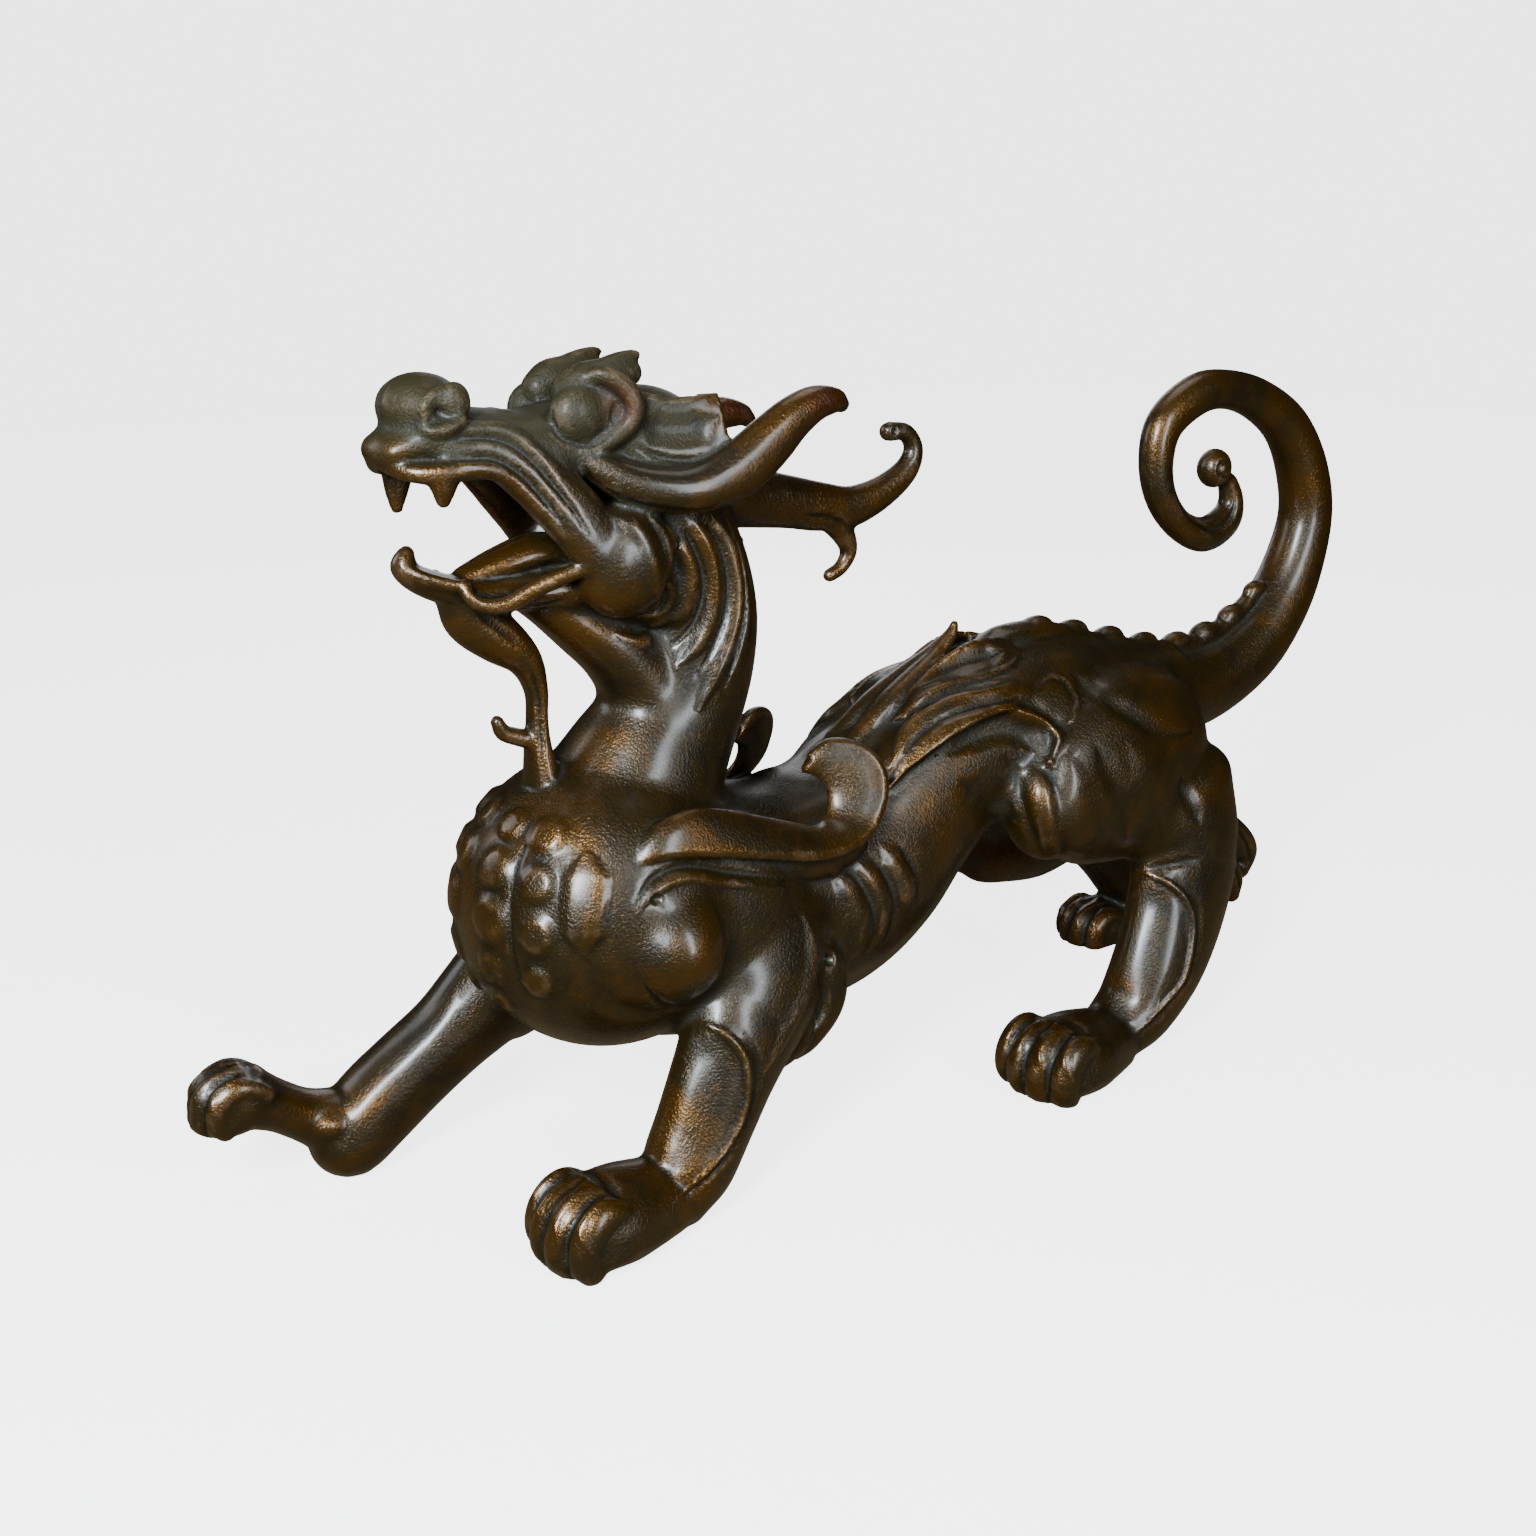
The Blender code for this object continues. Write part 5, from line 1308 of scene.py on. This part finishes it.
@dataclass
class Casting:
    """The whole animal, cast in one piece and finished by hand."""

    patina: Patina = Patina()
    body_voxel: float = 1.4
    body_rounds: int = 16
    flesh_voxel: float = 1.0
    flesh_rounds: int = 6
    detail_voxel: float = 0.72
    detail_rounds: int = 4
    triangles: int = 194_000
    cut_gap: float = 0.0001
    fine_rounds: int = 6
    broad_rounds: int = 60
    fine_relief: float = 0.10     # height in mm that counts as fully worn or hollow
    broad_relief: float = 0.9
    wear: Pair = (0.2, 0.8)       # weights of the fine and the broad relief
    hollowness: Pair = (0.3, 0.9)
    # weights of the fine and the broad relief for the shade painted into the creases
    creasing: Pair = (0.7, 0.4)
    head_olive: float = 0.75
    ear_russet: float = 0.9
    eye_russet: float = 0.8
    head: Rows = ((2, 193, 205), (1, -12, -24))
    # the back between the wings, where shade is painted
    scoop: Rows = ((0, 20, 14), (1, -16, -4), (1, 32, 20), (2, 84, 92), (2, 122, 112))
    ear_tip: Rows = ((1, 4, 14), (2, 196, 202))
    ear_inside: float = 12.0
    eye_hook: Point = (16.5, -41, 209)
    eye_hook_reach: float = 8.5

    def forms(self) -> list[Form]:
        """List the animal's forms in the order in which they are pressed on."""
        return [
            Trunk(), Shoulders(), Haunches(), Legs(),
            Paw((37.5, -45, 9), (40.2, -70.5, 10.2), 6.0),
            Paw((36.5, 118, 8), (39.5, 90.5, 9.4), 6.0, Stance.GATHERED),
            Paw((-36.5, 208, 7), (-37, 186.5, 5.5), -6.0, Stance.TRAILING),
            Paw(None, (-34, -133, 31), -4.0, Stance.RAISED),
            Skull(), Tail(), Ears(), Horn(), Beard(), Wings(), Tufts(), Spine(), Flames(), Mane(),
        ]

    def make(self) -> bpy.types.Object:
        """Build the piece, finish its skin and put it in the place of the CAD casting.

        Returns:
            The finished piece, in metres.
        """
        forms = self.forms()
        skin = self._pressed(forms)
        surface = Skin(skin)
        drawn = [stroke for form in forms for stroke in form.strokes()]
        for stroke in drawn:
            surface.draw(stroke)
        surface.refresh()
        LOG.info("drew %d strokes on %d points", len(drawn), len(surface.points))
        masks = self._masks(surface)
        self._thinned(skin)
        self._ground(skin)
        tree = tree_of(surface.points)
        nearest = [tree.find(vertex.co)[1] for vertex in skin.data.vertices]
        for name in MASKS:
            attribute = skin.data.attributes.new(name, "FLOAT", "POINT")
            attribute.data.foreach_set("value", masks[name][nearest].astype(np.float32))
        self._placed(skin)
        skin.data.materials.append(self.patina.material())
        select_only(skin)
        bpy.ops.object.shade_smooth()
        return skin

    def _pressed(self, forms: list[Form]) -> bpy.types.Object:
        """Press all forms together in three stages, each on the skin of the last."""
        body, flesh, whole = Wax(), Wax(), Wax()
        for form in forms:
            form.body(body)
        flesh.press(body.melted(self.body_voxel, self.body_rounds, "body"))
        for form in forms:
            form.flesh(flesh)
        whole.press(flesh.melted(self.flesh_voxel, self.flesh_rounds, "flesh"))
        for form in forms:
            form.detail(whole)
        return whole.melted(self.detail_voxel, self.detail_rounds, "striding_pixiu")

    def _masks(self, skin: Skin) -> dict[str, np.ndarray]:
        """Read where the skin is worn or hollow, where the patina is olive or russet, where shade is painted
        in the creases and between the wings, and which crests get a painted highlight.
        """
        fine = skin.spread(skin.points, self.fine_rounds)
        broad = skin.spread(fine, self.broad_rounds)
        crest = ((skin.points - fine) * skin.normals).sum(axis=1) / self.fine_relief
        swell = ((fine - broad) * skin.normals).sum(axis=1) / self.broad_relief
        places = np.column_stack([np.abs(skin.points[:, 0]), skin.points[:, 1:]])
        ear_tip = zone(places, self.ear_tip) * (places[:, 0] > self.ear_inside)
        hook = np.clip(1 - np.linalg.norm(places - self.eye_hook, axis=1) / self.eye_hook_reach, 0, 1)
        worn, hollow, crease = (fine_part * crest + broad_part * swell
                                for fine_part, broad_part in (self.wear, self.hollowness, self.creasing))
        return {
            "worn": np.clip(worn, -1, 1),
            # the crests, where a highlight is painted
            "edge": np.clip(crest, 0, 1),
            "hollow": np.clip(-hollow, 0, 1),
            # painted shade in the creases and on the back between the wings
            "crease": np.clip(zone(places, self.scoop) - crease, 0, 1),
            "olive": self.head_olive * zone(places, self.head),
            "russet": np.clip(self.ear_russet * ear_tip + self.eye_russet * hook, 0, 1),
        }

    def _thinned(self, skin: bpy.types.Object) -> None:
        """Bring the skin down to the triangles that one piece may have."""
        select_only(skin)
        triangles = sum(len(face.vertices) - 2 for face in skin.data.polygons)
        LOG.info("thinning %d triangles", triangles)
        apply_modifier(skin, "DECIMATE", ratio=self.triangles / triangles)

    def _ground(self, skin: bpy.types.Object) -> None:
        """Slice the soles flat on the floor and close the cut."""
        select_only(skin)
        bpy.ops.object.mode_set(mode="EDIT")
        bpy.ops.mesh.select_all(action="SELECT")
        bpy.ops.mesh.bisect(plane_co=(0, 0, 0), plane_no=(0, 0, 1), clear_inner=True, use_fill=True,
                            threshold=self.cut_gap)
        bpy.ops.mesh.select_all(action="SELECT")
        bpy.ops.mesh.quads_convert_to_tris()
        bpy.ops.object.mode_set(mode="OBJECT")

    def _placed(self, skin: bpy.types.Object) -> None:
        """Fit the skin to the box of the CAD casting that it stands for."""
        low, high = (np.array(corner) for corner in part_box(NODE))
        points = read(skin.data.vertices, "co", 3)
        own_low, own_high = points.min(axis=0), points.max(axis=0)
        scale = (high - low) / (own_high - own_low)
        write(skin.data, low + (points - own_low) * scale)


# ------------------------------------------------------------------ the studio

WHITE: Colour = (1.0, 1.0, 1.0)


@dataclass(frozen=True)
class SoftBox:
    """A soft rectangular light, placed in multiples of the animal's length."""

    place: Point
    size: Pair
    watts: float
    colour: Colour

    def light(self, length: float, target: Point) -> None:
        """Hang the light and point it at the target."""
        deselect_all()
        place = Vector(self.place) * length
        aim = (Vector(target) * length - place).to_track_quat("-Z", "Y").to_euler()
        bpy.ops.object.light_add(type="AREA", location=place, rotation=aim)
        lamp = bpy.context.active_object.data
        lamp.shape = "RECTANGLE"
        lamp.size, lamp.size_y = (side * length for side in self.size)
        lamp.energy = self.watts * length * length
        lamp.color = self.colour


@dataclass
class Studio:
    """A pale floor, a bright surround, soft boxes and the camera, sized by the animal's length."""

    floor_size: float = 12.0
    floor_colour: Colour = (0.82, 0.82, 0.81)
    floor_bounce: Colour = (0.14, 0.105, 0.058)  # the floor's colour to all but the camera
    floor_roughness: float = 0.9
    floor_gloss: float = 0.1
    surround: float = 3.4
    glow: float = 0.02                           # what the surround gives to all but the camera
    glow_colour: Colour = (1.0, 0.86, 0.62)
    target: Point = (0.0, 0.0, 0.25)
    lens: float = 38.67
    sensor: float = 36.0
    nearest: float = 0.01
    camera_place: Point = (0.9254, -0.7346, 0.6101)
    camera_turn: Point = (73.1, 0.0, 55.6)
    boxes: tuple[SoftBox, ...] = (
        SoftBox((1.05, -1.5, 1.25), (0.34, 0.85), 86.0, (0.82, 0.91, 1.0)),
        SoftBox((2.1, 0.15, 0.95), (0.40, 1.5), 38.0, (0.86, 0.93, 1.0)),
        SoftBox((-1.4, -1.6, 1.2), (0.7, 1.1), 9.0, (0.88, 0.94, 1.0)),
        SoftBox((-0.4, 0.6, 2.6), (1.2, 1.2), 9.0, (1.0, 0.97, 0.92)),
        SoftBox((-1.9, 1.1, 1.1), (1.2, 1.4), 7.0, (0.95, 0.97, 1.0)),
    )

    def set_up(self, length: float) -> None:
        """Lay the floor, light the scene and place the camera.

        Args:
            length: the animal's length in metres.
        """
        deselect_all()
        bpy.ops.mesh.primitive_plane_add(size=self.floor_size * length)
        floor = bpy.context.active_object
        floor.name = "studio_floor"
        floor.data.materials.append(self._paper())
        self._surround()
        for box in self.boxes:
            box.light(length, self.target)
        turn = tuple(math.radians(angle) for angle in self.camera_turn)
        bpy.ops.object.camera_add(location=Vector(self.camera_place) * length, rotation=turn)
        camera = bpy.context.active_object
        camera.data.lens = self.lens
        camera.data.sensor_width = self.sensor
        camera.data.clip_start = self.nearest
        bpy.context.scene.camera = camera

    def _surround(self) -> None:
        """Surround the scene with white that the camera sees, and with a faint warm glow for all else."""
        world = bpy.data.worlds.new("studio_surround")
        bpy.context.scene.world = world
        world.use_nodes = True
        tree = world.node_tree
        sockets = tree.nodes["Background"].inputs
        seen = tree.nodes.new("ShaderNodeLightPath").outputs["Is Camera Ray"]
        tree.links.new(tinted(tree, seen, self.glow_colour, WHITE), sockets["Color"])
        tree.links.new(remapped(tree, seen, to_min=self.glow, to_max=self.surround), sockets["Strength"])

    def _paper(self) -> bpy.types.Material:
        """Build the matt paper of the floor, lifted to the tone of the surround for the camera alone."""
        material = bpy.data.materials.new("pale_paper")
        material.use_nodes = True
        tree = material.node_tree
        sockets = tree.nodes["Principled BSDF"].inputs
        seen = tree.nodes.new("ShaderNodeLightPath").outputs["Is Camera Ray"]
        tree.links.new(tinted(tree, seen, self.floor_bounce, self.floor_colour), sockets["Base Color"])
        tree.links.new(remapped(tree, seen, to_max=self.surround), sockets["Emission Strength"])
        sockets["Emission Color"].default_value = (*WHITE, 1.0)
        sockets["Roughness"].default_value = self.floor_roughness
        sockets["Specular IOR Level"].default_value = self.floor_gloss
        return material


def main() -> None:
    """Set up the studio, build the casting and report its faces."""
    low, high = (Vector(corner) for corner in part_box(NODE))
    length = high.y - low.y
    Studio().set_up(length)
    casting = Casting().make()
    casting.name = casting.data.name = "pixiu_bronze"
    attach(casting, BODY)
    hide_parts(NODE)
    LOG.info("piece %s: %d faces", casting.name, len(casting.data.polygons))


if __name__ == "__main__":
    main()
